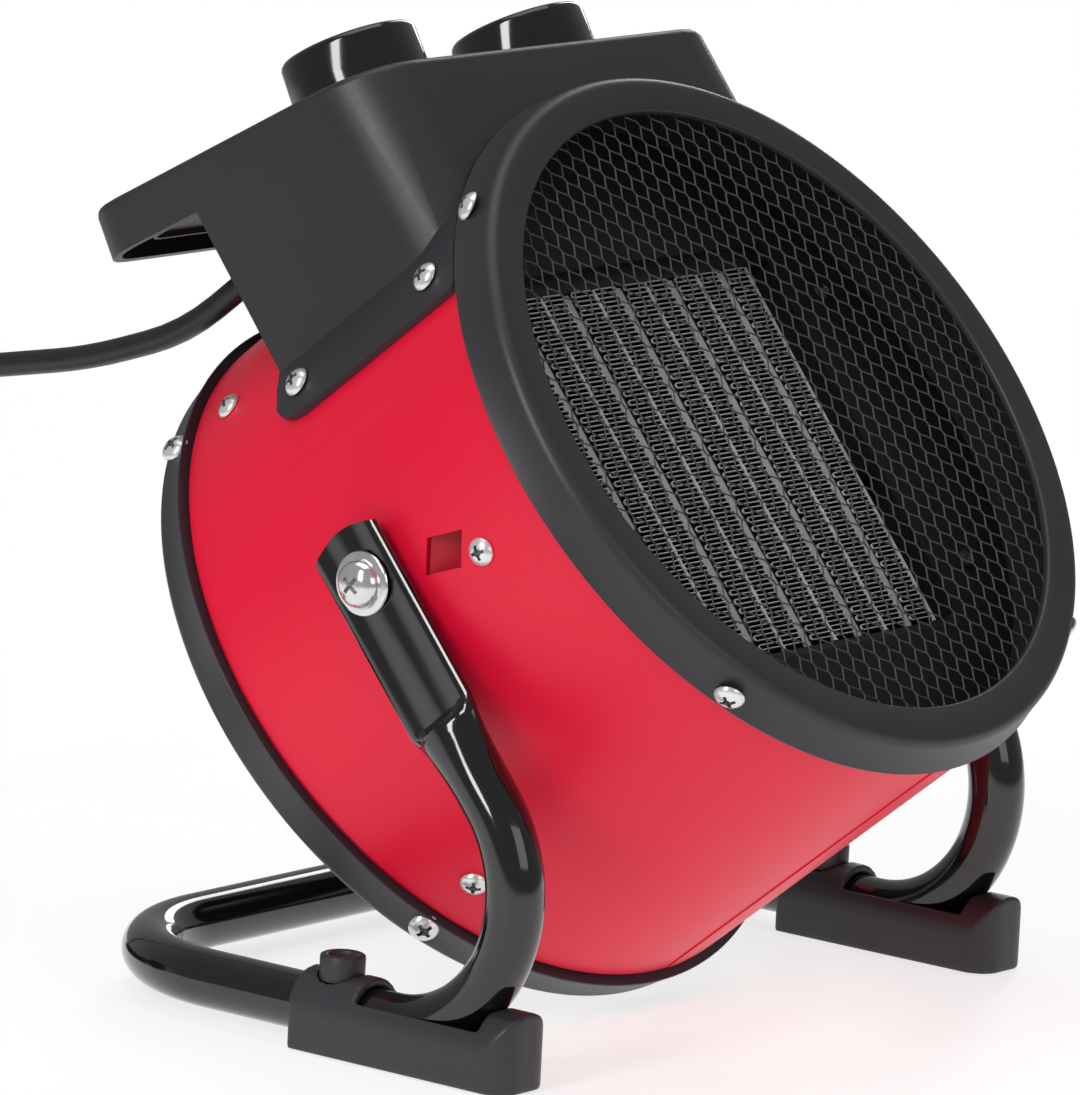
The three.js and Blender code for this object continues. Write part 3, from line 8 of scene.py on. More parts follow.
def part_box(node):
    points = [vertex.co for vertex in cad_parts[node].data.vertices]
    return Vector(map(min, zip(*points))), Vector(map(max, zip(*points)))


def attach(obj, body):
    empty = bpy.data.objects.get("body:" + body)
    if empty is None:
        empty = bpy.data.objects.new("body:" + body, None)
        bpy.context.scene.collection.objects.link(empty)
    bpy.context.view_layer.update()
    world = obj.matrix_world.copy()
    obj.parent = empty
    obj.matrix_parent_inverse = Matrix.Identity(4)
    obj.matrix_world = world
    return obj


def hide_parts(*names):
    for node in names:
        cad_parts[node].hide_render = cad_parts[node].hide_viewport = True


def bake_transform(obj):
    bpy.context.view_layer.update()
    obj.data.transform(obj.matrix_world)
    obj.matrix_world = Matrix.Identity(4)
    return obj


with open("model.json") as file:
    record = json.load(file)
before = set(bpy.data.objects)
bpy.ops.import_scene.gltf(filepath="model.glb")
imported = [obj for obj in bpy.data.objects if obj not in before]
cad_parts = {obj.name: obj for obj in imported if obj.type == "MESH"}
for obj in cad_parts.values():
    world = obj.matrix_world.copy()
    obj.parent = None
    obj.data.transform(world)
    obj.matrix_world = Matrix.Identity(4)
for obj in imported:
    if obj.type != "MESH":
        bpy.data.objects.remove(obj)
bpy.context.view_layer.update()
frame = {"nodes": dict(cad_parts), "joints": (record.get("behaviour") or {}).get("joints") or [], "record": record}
nodes = frame["nodes"]
MM = 0.001

# %% [markdown]
# ## Measures shared by many pieces
#
# The drum is round, so its pieces are drawn upright on the origin, with Z along the drum's axis, and are
# then carried to the tilted drum by one matrix. The same holds for the knobs and the sloping panel.
# %% Shared measures, in millimetres, and the matrices that carry a drawn piece to its place
TILT = math.radians(39)
LEAN = math.radians(10.4)
pivot = next(j for j in frame["joints"] if j["name"] == "drum_tilt")["pos_m"]
DRUM_RADIUS = 104.8
CASING_INNER = 103.8
FRONT_FACE = 71.0
REAR_FACE = -73.0
RING_DEPTH = 12.7
SHIELD_FACE = 44.6
PANEL_HEIGHT = 132.6
ELEMENT_FRONT = 39.0
BOX_REAR = -17.3
PIVOT_HEIGHT = 128.0
TOUCH_GAP = 0.3

drum_frame = Matrix.Translation(pivot) @ Matrix.Rotation(-TILT, 4, "X")
drum_axis = drum_frame @ Matrix.Rotation(math.radians(90), 4, "X")
outlet = drum_axis.to_3x3() @ Vector((0, 0, 1))


def on_drum(radius, place, angle, lean=0.0):
    """A matrix whose Z stands out of the drum at an angle from +X towards the top, at a place on its axis."""
    turn = Matrix.Rotation(angle, 4, "Z") @ Matrix.Rotation(math.radians(90) - lean, 4, "Y")
    spot = Vector((radius * math.cos(angle), radius * math.sin(angle), place)) * MM
    return drum_axis @ Matrix.Translation(spot) @ turn


def on_panel(x, setback, height=PANEL_HEIGHT):
    """A matrix whose Z stands square on the control panel."""
    a = setback * math.cos(LEAN) + height * math.sin(LEAN)
    u = height * math.cos(LEAN) - setback * math.sin(LEAN)
    return drum_frame @ Matrix.Translation(Vector((x, -a, u)) * MM) @ Matrix.Rotation(LEAN, 4, "X")


# %% [markdown]
# ## Camera
#
# The camera stands where the photographer's stood: in front of the left side, a little above the drum, and
# far away behind a long lens, so that the near and far foot have nearly the same size.
# %% Camera
FOCAL_LENGTH_PIXELS, PHOTO_HEIGHT, SENSOR = 9318.454, 1095, 36
azimuth, elevation, roll = (math.radians(v) for v in (-52.001082, 10.506433, 2.8566445))
back = Vector((
    math.sin(azimuth) * math.cos(elevation),
    -math.cos(azimuth) * math.cos(elevation),
    math.sin(elevation),
))
level = Vector((math.cos(azimuth), math.sin(azimuth), 0))
upward = back.cross(level)
right = level * math.cos(roll) + upward * math.sin(roll)
top = upward * math.cos(roll) - level * math.sin(roll)
camera_data = bpy.data.cameras.new("camera")
camera_data.sensor_width = SENSOR
camera_data.lens = FOCAL_LENGTH_PIXELS * SENSOR / PHOTO_HEIGHT
camera_data.clip_end = 50
camera = bpy.data.objects.new("camera", camera_data)
spot = Vector((-1.995822, -1.530877 + pivot[1], 0.590193))
camera.matrix_world = Matrix((
    (right.x, top.x, back.x, spot.x),
    (right.y, top.y, back.y, spot.y),
    (right.z, top.z, back.z, spot.z),
    (0, 0, 0, 1),
))
bpy.context.scene.collection.objects.link(camera)
bpy.context.scene.camera = camera
print("camera", tuple(round(v, 3) for v in spot), "lens", round(camera_data.lens, 1))

# %% [markdown]
# ## Shader sums
#
# A finish is worked out as a sum of patterns. The class below wraps a socket, so that a Python sum adds the
# Math nodes by itself, and one method makes every other node.
# %% A finish and the values in it


class Pattern:
    """A socket that takes part in Python sums."""

    def __init__(self, finish, socket):
        self.finish = finish
        self.socket = socket

    def combine(self, operation, first, second):
        made = self.finish.node("ShaderNodeMath", {0: first, 1: second}, operation=operation)
        return Pattern(self.finish, made.outputs[0])

    def __add__(self, other):
        return self.combine("ADD", self, other)

    def __mul__(self, other):
        return self.combine("MULTIPLY", self, other)

    def above(self, level):
        return self.combine("GREATER_THAN", self, level)


class Finish:
    """A material on Blender's standard shader, with patterns that follow the object's own coordinates."""

    def __init__(self, name, color, roughness, **constants):
        self.material = bpy.data.materials.new(name)
        self.material.use_nodes = True
        self.tree = self.material.node_tree
        self.shader = self.tree.nodes["Principled BSDF"]
        self.shader.inputs["Base Color"].default_value = (*color, 1)
        self.shader.inputs["Roughness"].default_value = roughness
        for key, value in constants.items():
            self.shader.inputs[key.replace("_", " ")].default_value = value
        self.place = self.node("ShaderNodeTexCoord").outputs["Object"]

    def node(self, kind, inputs=None, **settings):
        made = self.tree.nodes.new(kind)
        for key, value in settings.items():
            setattr(made, key, value)
        for key, value in (inputs or {}).items():
            if isinstance(value, Pattern):
                value = value.socket
            if isinstance(value, bpy.types.NodeSocket):
                self.tree.links.new(value, made.inputs[key])
            else:
                made.inputs[key].default_value = value
        return made

    def noise(self, size_mm, detail=2.0, rough=0.5, place=None):
        """Soft blotches of about this size, from 0 to 1."""
        inputs = {
            "Vector": place or self.place, "Scale": 1000 / size_mm, "Detail": detail, "Roughness": rough,
        }
        return Pattern(self, self.node("ShaderNodeTexNoise", inputs).outputs["Fac"])

    def grain(self, size_mm):
        """Small cells of about this size, as in a moulded or sprayed surface."""
        inputs = {"Vector": self.place, "Scale": 1000 / size_mm}
        return Pattern(self, self.node("ShaderNodeTexVoronoi", inputs, feature="F1").outputs["Distance"])

    def brushed(self, stretch, size_mm):
        """Noise drawn out along one direction, as brushing leaves it."""
        drawn = self.node("ShaderNodeMapping", {"Vector": self.place, "Scale": stretch}).outputs["Vector"]
        return self.noise(size_mm, 3.0, 0.6, drawn)

    def blend(self, factor, first, second):
        made = self.node("ShaderNodeMix", data_type="RGBA")
        self.tree.links.new(factor.socket, made.inputs[0])
        for socket, value in ((made.inputs[6], first), (made.inputs[7], second)):
            if isinstance(value, bpy.types.NodeSocket):
                self.tree.links.new(value, socket)
            else:
                socket.default_value = (*value, 1)
        return made.outputs[2]

    def give(self, socket, value):
        source = value.socket if isinstance(value, Pattern) else value
        self.tree.links.new(source, self.shader.inputs[socket])

    def mottled(self, pattern, dark, light):
        """Lets the colour wander between two shades."""
        self.give("Base Color", self.blend(pattern, dark, light))

    def raise_by(self, height, distance_mm, strength=1.0):
        inputs = {"Height": height, "Distance": distance_mm * MM, "Strength": strength}
        self.give("Normal", self.node("ShaderNodeBump", inputs).outputs["Normal"])


# %% [markdown]
# ## Finishes of painted steel
#
# The casing is powder coated: the paint flows into a very fine orange peel, so its gloss is soft and even,
# and faint rubbing changes the gloss more than the colour. The stand is dipped in gloss black.
# %% Painted steel
casing_red = Finish("casing_red", (0.80, 0.003, 0.036), 0.40, Specular_IOR_Level=0.42)
peel = casing_red.noise(0.9, 2.0)
rubbed = casing_red.noise(38, 3.0)
casing_red.mottled(rubbed, (0.77, 0.002, 0.032), (0.83, 0.004, 0.040))
casing_red.give("Roughness", rubbed * 0.10 + 0.33 + peel * 0.04)
casing_red.raise_by(peel, 0.02, 0.35)

# Painted shade: the pressed pocket takes a darker copy of the casing red, standing in for the shade inside the
# recess.
pocket_shaded_red = Finish("pocket_shaded_red", (0.52, 0.002, 0.026), 0.45)
pocket_shaded_red.give("Roughness", pocket_shaded_red.noise(9, 3.0) * 0.12 + 0.38)
pocket_shaded_red.raise_by(pocket_shaded_red.noise(0.9, 2.0), 0.02, 0.35)

casing_inside = Finish("casing_inside", (0.012, 0.012, 0.013), 0.6)
casing_inside.give("Roughness", casing_inside.noise(12, 3.0) * 0.2 + 0.5)
casing_inside.raise_by(casing_inside.noise(0.8), 0.02, 0.4)

stand_black = Finish("stand_black", (0.004, 0.004, 0.0045), 0.10, Coat_Weight=0.6, Coat_Roughness=0.05)
flow = stand_black.noise(6, 2.0)
stand_black.give("Roughness", stand_black.noise(30, 3.0) * 0.08 + 0.07)
stand_black.raise_by(flow, 0.03, 0.3)

guard_black = Finish("guard_black", (0.045, 0.045, 0.047), 0.48)
chipped = guard_black.noise(7, 4.0).above(0.62)
guard_black.mottled(guard_black.noise(9, 3.0), (0.024, 0.024, 0.026), (0.055, 0.055, 0.058))
guard_black.give("Roughness", guard_black.noise(3, 3.0) * 0.2 + 0.38 + chipped * 0.05)
guard_black.raise_by(guard_black.noise(0.7), 0.02, 0.5)

shield_dark = Finish("shield_dark", (0.010, 0.010, 0.011), 0.55, Metallic=0.3)
shield_dark.mottled(shield_dark.noise(24, 4.0), (0.006, 0.006, 0.007), (0.016, 0.016, 0.018))
shield_dark.give("Roughness", shield_dark.brushed((8, 1, 1), 6) * 0.25 + 0.42)
shield_dark.raise_by(shield_dark.noise(1.2, 4.0), 0.02, 0.4)

# %% [markdown]
# ## Finishes of plastic and rubber
#
# The rings, the box and the feet come from tools with a spark eroded texture, which scatters light into a
# dull grey. The knobs come from a polished tool. The cord's sheath is soft vinyl with a slight haze.
# %% Plastic and rubber
moulded = Finish("moulded", (0.026, 0.0255, 0.031), 0.42)
pits = moulded.grain(0.55)
handled = moulded.noise(45, 4.0)
moulded.mottled(handled, (0.020, 0.0195, 0.0235), (0.031, 0.030, 0.036))
moulded.give("Roughness", handled * 0.12 + 0.34 + pits * 0.06)
moulded.raise_by(pits, 0.03, 0.35)

knob_gloss = Finish("knob_gloss", (0.004, 0.004, 0.0045), 0.10, Coat_Weight=0.5, Coat_Roughness=0.04)
knob_gloss.give("Roughness", knob_gloss.noise(14, 4.0) * 0.10 + 0.07)
knob_gloss.raise_by(knob_gloss.noise(2.5), 0.01, 0.3)

marking = Finish("marking", (0.80, 0.80, 0.78), 0.5)
marking.mottled(marking.noise(1.6, 4.0), (0.70, 0.70, 0.68), (0.86, 0.86, 0.84))
marking.raise_by(marking.noise(0.5), 0.01, 0.4)

sheath = Finish("sheath", (0.010, 0.010, 0.011), 0.36)
haze = sheath.noise(11, 4.0)
sheath.mottled(haze, (0.008, 0.008, 0.009), (0.018, 0.018, 0.020))
sheath.give("Roughness", haze * 0.2 + 0.28)
sheath.raise_by(sheath.noise(1.1, 3.0), 0.03, 0.3)

plug_rubber = Finish("plug_rubber", (0.012, 0.012, 0.013), 0.5)
plug_rubber.give("Roughness", plug_rubber.noise(8, 4.0) * 0.2 + 0.4)
plug_rubber.raise_by(plug_rubber.grain(0.5), 0.03, 0.35)

pale_resin = Finish("pale_resin", (0.50, 0.47, 0.40), 0.55)
pale_resin.mottled(pale_resin.noise(9, 4.0), (0.44, 0.41, 0.35), (0.56, 0.53, 0.46))
pale_resin.raise_by(pale_resin.noise(1.0, 3.0), 0.03, 0.4)

dark_plastic = Finish("dark_plastic", (0.02, 0.02, 0.022), 0.45)
dark_plastic.give("Roughness", dark_plastic.noise(10, 4.0) * 0.2 + 0.36)
dark_plastic.raise_by(dark_plastic.grain(0.6), 0.02, 0.4)

# %% [markdown]
# ## Finishes of bare metal and ceramic
#
# Zinc plated screws are bright with a cloudy film. The fins are thin folded aluminium, dulled by heat, and behind
# their front edges they take a near black colour, painted shade for the deep gaps between the folds. The ceramic
# strips between them are pale grey with rusty patches.
# %% Bare metal and ceramic
zinc = Finish("zinc", (0.80, 0.81, 0.83), 0.26, Metallic=0.62)
cloud = zinc.noise(2.6, 4.0)
zinc.mottled(cloud, (0.74, 0.75, 0.77), (0.92, 0.92, 0.93))
zinc.give("Roughness", cloud * 0.22 + 0.14)
zinc.raise_by(zinc.noise(0.5, 3.0), 0.02, 0.5)

bright_zinc = Finish("bright_zinc", (0.72, 0.73, 0.75), 0.16, Metallic=0.85)
film = bright_zinc.noise(4.5, 4.0)
bright_zinc.mottled(film, (0.62, 0.63, 0.65), (0.88, 0.88, 0.89))
bright_zinc.give("Roughness", film * 0.16 + 0.08)
bright_zinc.raise_by(bright_zinc.noise(0.8, 3.0), 0.015, 0.4)

recess_shade = Finish("recess_shade", (0.16, 0.16, 0.17), 0.5, Metallic=0.5)
recess_shade.mottled(recess_shade.noise(0.9, 3.0), (0.10, 0.10, 0.11), (0.26, 0.26, 0.27))
recess_shade.raise_by(recess_shade.noise(0.4, 3.0), 0.02, 0.4)

fin_metal = Finish("fin_metal", (0.62, 0.62, 0.63), 0.4, Metallic=0.35)
heat_marks = fin_metal.noise(13, 4.0)
along = fin_metal.node("ShaderNodeVectorMath", {0: fin_metal.place, 1: outlet}, operation="DOT_PRODUCT")
front_plane = outlet.dot(Vector(pivot)) + (ELEMENT_FRONT - 0.5) * MM
unshaded_front_edge = Pattern(fin_metal, along.outputs["Value"]).above(front_plane)
bright = fin_metal.blend(heat_marks, (0.62, 0.61, 0.61), (1.0, 1.0, 1.0))
# Painted shade: behind their front edge the fins take a near black colour, standing in for the shadow deep between
# the folds.
fin_metal.mottled(unshaded_front_edge, (0.028, 0.028, 0.030), bright)
fin_metal.give("Roughness", heat_marks * 0.2 + 0.28)
fin_metal.raise_by(fin_metal.noise(0.9, 3.0), 0.02, 0.5)

ceramic = Finish("ceramic", (0.34, 0.31, 0.28), 0.62)
rust = ceramic.noise(10, 3.0)
ceramic.mottled(rust, (0.62, 0.53, 0.52), (0.40, 0.40, 0.41))
ceramic.give("Roughness", ceramic.noise(3, 3.0) * 0.2 + 0.5)
ceramic.raise_by(ceramic.noise(0.7, 3.0), 0.03, 0.5)

fan_metal = Finish("fan_metal", (0.52, 0.53, 0.54), 0.36, Metallic=0.9)
fan_metal.mottled(fan_metal.noise(20, 4.0), (0.44, 0.45, 0.46), (0.62, 0.63, 0.64))
fan_metal.give("Roughness", fan_metal.brushed((1, 9, 1), 3) * 0.25 + 0.24)
fan_metal.raise_by(fan_metal.noise(1.2, 3.0), 0.02, 0.4)

motor_steel = Finish("motor_steel", (0.36, 0.37, 0.38), 0.36, Metallic=0.9)
motor_steel.mottled(motor_steel.noise(16, 4.0), (0.28, 0.29, 0.30), (0.46, 0.47, 0.48))
motor_steel.give("Roughness", motor_steel.noise(5, 4.0) * 0.25 + 0.26)
motor_steel.raise_by(motor_steel.noise(0.8, 3.0), 0.02, 0.4)

brass = Finish("brass", (0.52, 0.36, 0.13), 0.3, Metallic=1.0)
brass.give("Roughness", brass.noise(4, 4.0) * 0.25 + 0.2)
brass.raise_by(brass.noise(0.8, 3.0), 0.02, 0.4)
print("finishes", len(bpy.data.materials))

# %% [markdown]
# ## Ways of making
#
# Most pieces are turned. As on a lathe, the half outline is drawn point by point and spun round the axis.
# Drawing starts from one vertex and extrudes it along the outline. A finished piece keeps its place in its
# mesh, so that its object can stay at the origin.
# %% Drawing, turning and finishing helpers


def deselect():
    if bpy.context.object and bpy.context.object.mode != "OBJECT":
        bpy.ops.object.mode_set(mode="OBJECT")
    bpy.ops.object.select_all(action="DESELECT")


def take(piece):
    """Makes one piece the selected and active one."""
    deselect()
    piece.select_set(True)
    bpy.context.view_layer.objects.active = piece
    return piece


def draw(points, close=False):
    """A chain of edges through points in millimetres, extruded from one vertex."""
    deselect()
    bpy.ops.mesh.primitive_plane_add(size=MM, location=(0, 0, 0))
    bpy.ops.object.mode_set(mode="EDIT")
    bpy.ops.mesh.select_all(action="SELECT")
    bpy.ops.mesh.merge(type="CENTER")
    spots = [Vector(p) * MM for p in points]
    bpy.ops.transform.translate(value=spots[0])
    for here, there in zip(spots, spots[1:] + (spots[:1] if close else [])):
        bpy.ops.mesh.extrude_vertices_move(TRANSFORM_OT_translate={"value": there - here})
    bpy.ops.mesh.select_all(action="SELECT")
    if close:
        bpy.ops.mesh.remove_doubles(threshold=1e-6)
    return bpy.context.object


def tidy_mesh():
    """Merges doubles and points the faces outwards, in edit mode."""
    bpy.ops.mesh.select_all(action="SELECT")
    bpy.ops.mesh.remove_doubles(threshold=2e-6)
    bpy.ops.mesh.normals_make_consistent(inside=False)
    bpy.ops.object.mode_set(mode="OBJECT")


def prism(ring, lift):
    """A closed ring of points, filled and drawn out by a lift in millimetres."""
    piece = draw(ring, close=True)
    bpy.ops.mesh.edge_face_add()
    bpy.ops.mesh.extrude_region_move(TRANSFORM_OT_translate={"value": Vector(lift) * MM})
    tidy_mesh()
    return piece


def turned(profile, steps=96, close=True):
    """The half outline, pairs of radius and height, spun round Z."""
    piece = draw([(r, 0, z) for r, z in profile], close)
    bpy.ops.mesh.spin(steps=steps, angle=2 * math.pi, center=(0, 0, 0), axis=(0, 0, 1))
    tidy_mesh()
    return piece


def modify(piece, kind, **settings):
    """Adds a modifier and applies it."""
    take(piece)
    made = piece.modifiers.new(kind.lower(), kind)
    for key, value in settings.items():
        setattr(made, key, value)
    bpy.ops.object.modifier_apply(modifier=made.name)
    return piece


def repeated(piece, count, step):
    """Copies of a piece, each a step in millimetres from the last, with their shared points merged."""
    return modify(piece, "ARRAY", count=count, use_relative_offset=False, use_constant_offset=True,
                  constant_offset_displace=Vector(step) * MM, use_merge_vertices=True, merge_threshold=1e-5)


def cut(piece, *tools):
    """Takes the tools' shapes out of a piece and removes the tools."""
    for tool in tools:
        modify(piece, "BOOLEAN", operation="DIFFERENCE", object=tool, solver="EXACT")
        bpy.data.objects.remove(tool)
    return piece


def block(size, middle):
    """A box of this size in millimetres round a middle, as a start for a cut or a plate."""
    deselect()
    bpy.ops.mesh.primitive_cube_add(size=1, location=(0, 0, 0))
    piece = bpy.context.object
    piece.data.transform(Matrix.Translation(Vector(middle) * MM) @ Matrix.Diagonal((*(Vector(size) * MM), 1)))
    return piece


def copy_of(piece):
    twin = piece.copy()
    twin.data = piece.data.copy()
    bpy.context.scene.collection.objects.link(twin)
    return twin


def joined(pieces):
    deselect()
    for piece in pieces:
        piece.select_set(True)
    bpy.context.view_layer.objects.active = pieces[0]
    if len(pieces) > 1:
        bpy.ops.object.join()
    return bpy.context.object


def two_tone(piece, main, other, is_other):
    """Gives a piece two finishes. The test picks the faces that take the other one."""
    piece.data.materials.clear()
    for finish in (main, other):
        piece.data.materials.append(finish.material)
    for face in piece.data.polygons:
        face.material_index = 1 if is_other(face) else 0


def finished(piece, name, body, finish, matrix=None, replaces=(), sharp=35):
    """Names a piece, carries it to its place, and gives it its finish, its body and its smooth shading."""
    piece.name = name
    piece.data.name = name
    if matrix is not None:
        piece.data.transform(matrix)
    if not piece.data.materials:
        piece.data.materials.append(finish.material)
    take(piece)
    bpy.ops.object.shade_smooth_by_angle(angle=math.radians(sharp))
    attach(piece, body)
    if replaces:
        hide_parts(*replaces)
    print(name, len(piece.data.polygons), "faces")
    return piece


def dressed(node, name, body, finish, sharp=32):
    """A smooth copy of a CAD node. Its loose triangles are merged, and large faces decide the shading."""
    twin = copy_of(nodes[node])
    for key in list(twin.keys()):
        del twin[key]
    twin.parent = None
    twin.matrix_world = Matrix.Identity(4)
    twin.data.materials.clear()
    take(twin)
    bpy.ops.mesh.customdata_custom_splitnormals_clear()
    bpy.ops.object.mode_set(mode="EDIT")
    bpy.ops.mesh.select_all(action="SELECT")
    bpy.ops.mesh.remove_doubles(threshold=1e-5)
    bpy.ops.mesh.dissolve_limited(angle_limit=math.radians(0.5))
    bpy.ops.object.mode_set(mode="OBJECT")
    finished(twin, name, body, finish, replaces=[node], sharp=sharp)
    return modify(twin, "WEIGHTED_NORMAL", keep_sharp=True, weight=90)


slot_of = {part["node"]: part["material_slot"] for part in frame["record"]["subparts"]}

# %% [markdown]
# ## Mains cord
#
# The cord leaves the box through a strain relief, falls behind the heater in one slow curve, and the rest is
# wound into a flat coil of two layers. The tube is swept along the same route as in the CAD frame, because a
# cord that is merely near its solid would cut through its neighbours.
# %% The cord's route
CORD_RADIUS = 3.5
CORD_LENGTH = 1650
CORD_SIDE = 45
CORD_HEIGHT = DRUM_RADIUS + 6
GLAND_TIP = TOUCH_GAP + 2 + 20
COIL_SETBACK = 228
COIL_PITCH = 7.8
COIL_TURNS = 5.25
TURN_BACK = 3
LEAD_RADIUS = 60
PLUG_SHOULDER, PLUG_RADIUS = 36, 18.5
cord_floor = CORD_RADIUS + TOUCH_GAP


def rounded_route(corners, step):
    """Straight runs between corners, each corner rounded to its radius."""
    points = [corners[0][0]]
    for (before, _), (place, radius), (after, _) in zip(corners, corners[1:], corners[2:]):
        into = (place - before).normalized()
        out = (after - place).normalized()
        turn = into.angle(out)
        inward = (out - into * into.dot(out)).normalized()
        start = place - into * radius * math.tan(turn / 2)
        count = max(2, round(radius * turn / step))
        for i in range(count + 1):
            angle = turn * i / count
            points.append(start + into * radius * math.sin(angle) + inward * radius * (1 - math.cos(angle)))
    return points + [corners[-1][0]]


def length_of(points):
    return sum((b - a).length for a, b in zip(points, points[1:]))


exit_y, exit_z = -BOX_REAR + GLAND_TIP + TOUCH_GAP, CORD_HEIGHT
cord_start = Vector((
    -CORD_SIDE,
    exit_y * math.cos(TILT) + exit_z * math.sin(TILT),
    PIVOT_HEIGHT - exit_y * math.sin(TILT) + exit_z * math.cos(TILT),
))
first_corner = cord_start + Vector((0, math.cos(TILT), -math.sin(TILT))) * 27
second_slope, third_slope = math.radians(19), math.radians(11.3)
second_corner = first_corner + Vector((0, math.cos(second_slope), -math.sin(second_slope))) * 37
fall = COIL_SETBACK + 7 + 34
third_corner = Vector((-CORD_SIDE, fall, second_corner.z - (fall - second_corner.y) * math.tan(third_slope)))
coil_start_y = COIL_SETBACK + 7
free_cord = rounded_route([
    (cord_start, 0),
    (first_corner, 80),
    (second_corner, 200),
    (third_corner, 45),
    (Vector((-CORD_SIDE, fall, cord_floor)), 34 - 0.31),
    (Vector((-CORD_SIDE, coil_start_y + TOUCH_GAP, cord_floor)), 0),
], 7)
coil_top = cord_floor + COIL_PITCH
plug_pitch = 0.0
for _ in range(40):
    tail = coil_top + LEAD_RADIUS * (1 - math.cos(plug_pitch)) + 7.3 * math.sin(plug_pitch)
    reach = math.hypot(PLUG_SHOULDER, PLUG_RADIUS)
    plug_pitch = math.acos((tail - TOUCH_GAP) / reach) - math.atan2(PLUG_SHOULDER, PLUG_RADIUS)
coiled = CORD_LENGTH - length_of(free_cord) - 14 - LEAD_RADIUS * plug_pitch - 0.6
inward_turns = TURN_BACK**2 - (2 * TURN_BACK - COIL_TURNS) ** 2 / 2
coil_outer = (coiled / (2 * math.pi) + COIL_PITCH * inward_turns) / COIL_TURNS
coil_middle = Vector((-CORD_SIDE - coil_outer, COIL_SETBACK, 0))
coil = []
for k in range(int(COIL_TURNS * 24) + 1):
    turns = k / 24
    radius = coil_outer - COIL_PITCH * min(turns, 2 * TURN_BACK - turns)
    t = min(max((turns - TURN_BACK + 0.25) / 0.5, 0), 1)
    height = cord_floor + COIL_PITCH * t * t * (3 - 2 * t)
    angle = -2 * math.pi * turns
    coil.append(Vector((radius * math.cos(angle), radius * math.sin(angle), height)) + coil_middle)
lead = [
    coil[-1] + Vector((-math.sin(plug_pitch * k / 3), 0, 1 - math.cos(plug_pitch * k / 3))) * LEAD_RADIUS
    for k in (1, 2, 3)
]
plug_axis = Vector((-math.cos(plug_pitch), 0, math.sin(plug_pitch)))
lead_end = lead[-1] + plug_axis * 7
whole_route = free_cord + [Vector((coil[0].x, coil_start_y, cord_floor))] + coil + lead + [lead_end]
shift = Vector(pivot) - Vector((0, 0, PIVOT_HEIGHT)) * MM
cord_path = [p * MM + shift for p in whole_route]
print("free run", round(length_of(free_cord), 1), "whole cord", round(length_of(whole_route), 1))

# %% [markdown]
# ## Sweeping the cord
#
# A ring of points is carried along the route, and each ring is bridged to the next. The free run gets more
# points than the coil, because it bends when the drum tilts.
# %% The cord's tube, swept along the route


def lofted(rings):
    """A closed body through rings of points, each bridged to the next in order."""
    sides = len(rings[0])
    faces = [
        (k * sides + i, k * sides + (i + 1) % sides, (k + 1) * sides + (i + 1) % sides, (k + 1) * sides + i)
        for k in range(len(rings) - 1)
        for i in range(sides)
    ]
    faces += [tuple(reversed(range(sides))), tuple((len(rings) - 1) * sides + i for i in range(sides))]
    mesh = bpy.data.meshes.new("lofted")
    mesh.from_pydata([p for ring in rings for p in ring], [], faces)
    piece = bpy.data.objects.new("lofted", mesh)
    bpy.context.scene.collection.objects.link(piece)
    take(piece)
    bpy.ops.object.mode_set(mode="EDIT")
    tidy_mesh()
    return piece


def swept(path, radius, sides):
    """A tube along a path. The ring's own X axis is carried along, so that the tube isn't twisted."""
    rings = []
    normal = Vector((1, 0, 0))
    for k, spot in enumerate(path):
        ahead = (path[min(k + 1, len(path) - 1)] - path[max(k - 1, 0)]).normalized()
        normal = (normal - ahead * normal.dot(ahead)).normalized()
        across = ahead.cross(normal)
        turn = [2 * math.pi * i / sides for i in range(sides)]
        rings.append([spot + (normal * math.cos(t) + across * math.sin(t)) * radius for t in turn])
    return lofted(rings)


def refined(path, longest):
    """The same route with more points on it, so that no step is longer than this."""
    fine = [path[0]]
    for here, there in zip(path, path[1:]):
        steps = max(1, math.ceil((there - here).length / longest))
        fine += [here.lerp(there, k / steps) for k in range(1, steps + 1)]
    return fine


bending = refined(cord_path[:len(free_cord)], 3 * MM)
cord = swept(bending + cord_path[len(free_cord):], CORD_RADIUS * MM, 14)
cord.name = cord.data.name = "mains_cord"
cord.data.materials.append(sheath.material)
take(cord)
bpy.ops.object.shade_smooth_by_angle(angle=math.radians(60))
bend_start = cord_path[0] + Vector((0, 0.030, -0.015))
bend_start + Vector((0, 0.040, -0.080))
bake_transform(cord)
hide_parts("power_cord", "cord_coil")

# %% [markdown]
# ## Strain relief
#
# A short tapered sleeve keeps the cord from kinking where it leaves the wall. Its outline has five grooves,
# so that it bends with the cord, and the whole is one turned piece.
# %% Strain relief
sleeve = [
    (3.2, -3.0), (7.0, -4.9), (7.0, -2.9), (5.6, -2.9), (5.6, 0.3),
    (8.2, 0.3), (8.5, 0.7), (8.5, 1.9), (8.0, 2.3),
]
for k in range(6):
    foot = 2.6 + 3.2 * k
    outer = 7.0 - 2.2 * (foot - 2.3) / 20
    sleeve += [(outer, foot), (outer - 0.15, foot + 1.7)]
    sleeve += [(outer - 1.0, foot + 2.0), (outer - 1.0, foot + 2.9)]
sleeve += [(4.6, 21.7), (4.3, 22.3), (3.2, 22.3)]
cord_exit = drum_frame @ Matrix.Translation(Vector((-CORD_SIDE, -BOX_REAR, CORD_HEIGHT)) * MM)
sleeve_place = cord_exit @ Matrix.Rotation(math.radians(-90), 4, "X")
finished(turned(sleeve, 40), "strain_relief", "drum", plug_rubber, sleeve_place, ["cord_gland"])

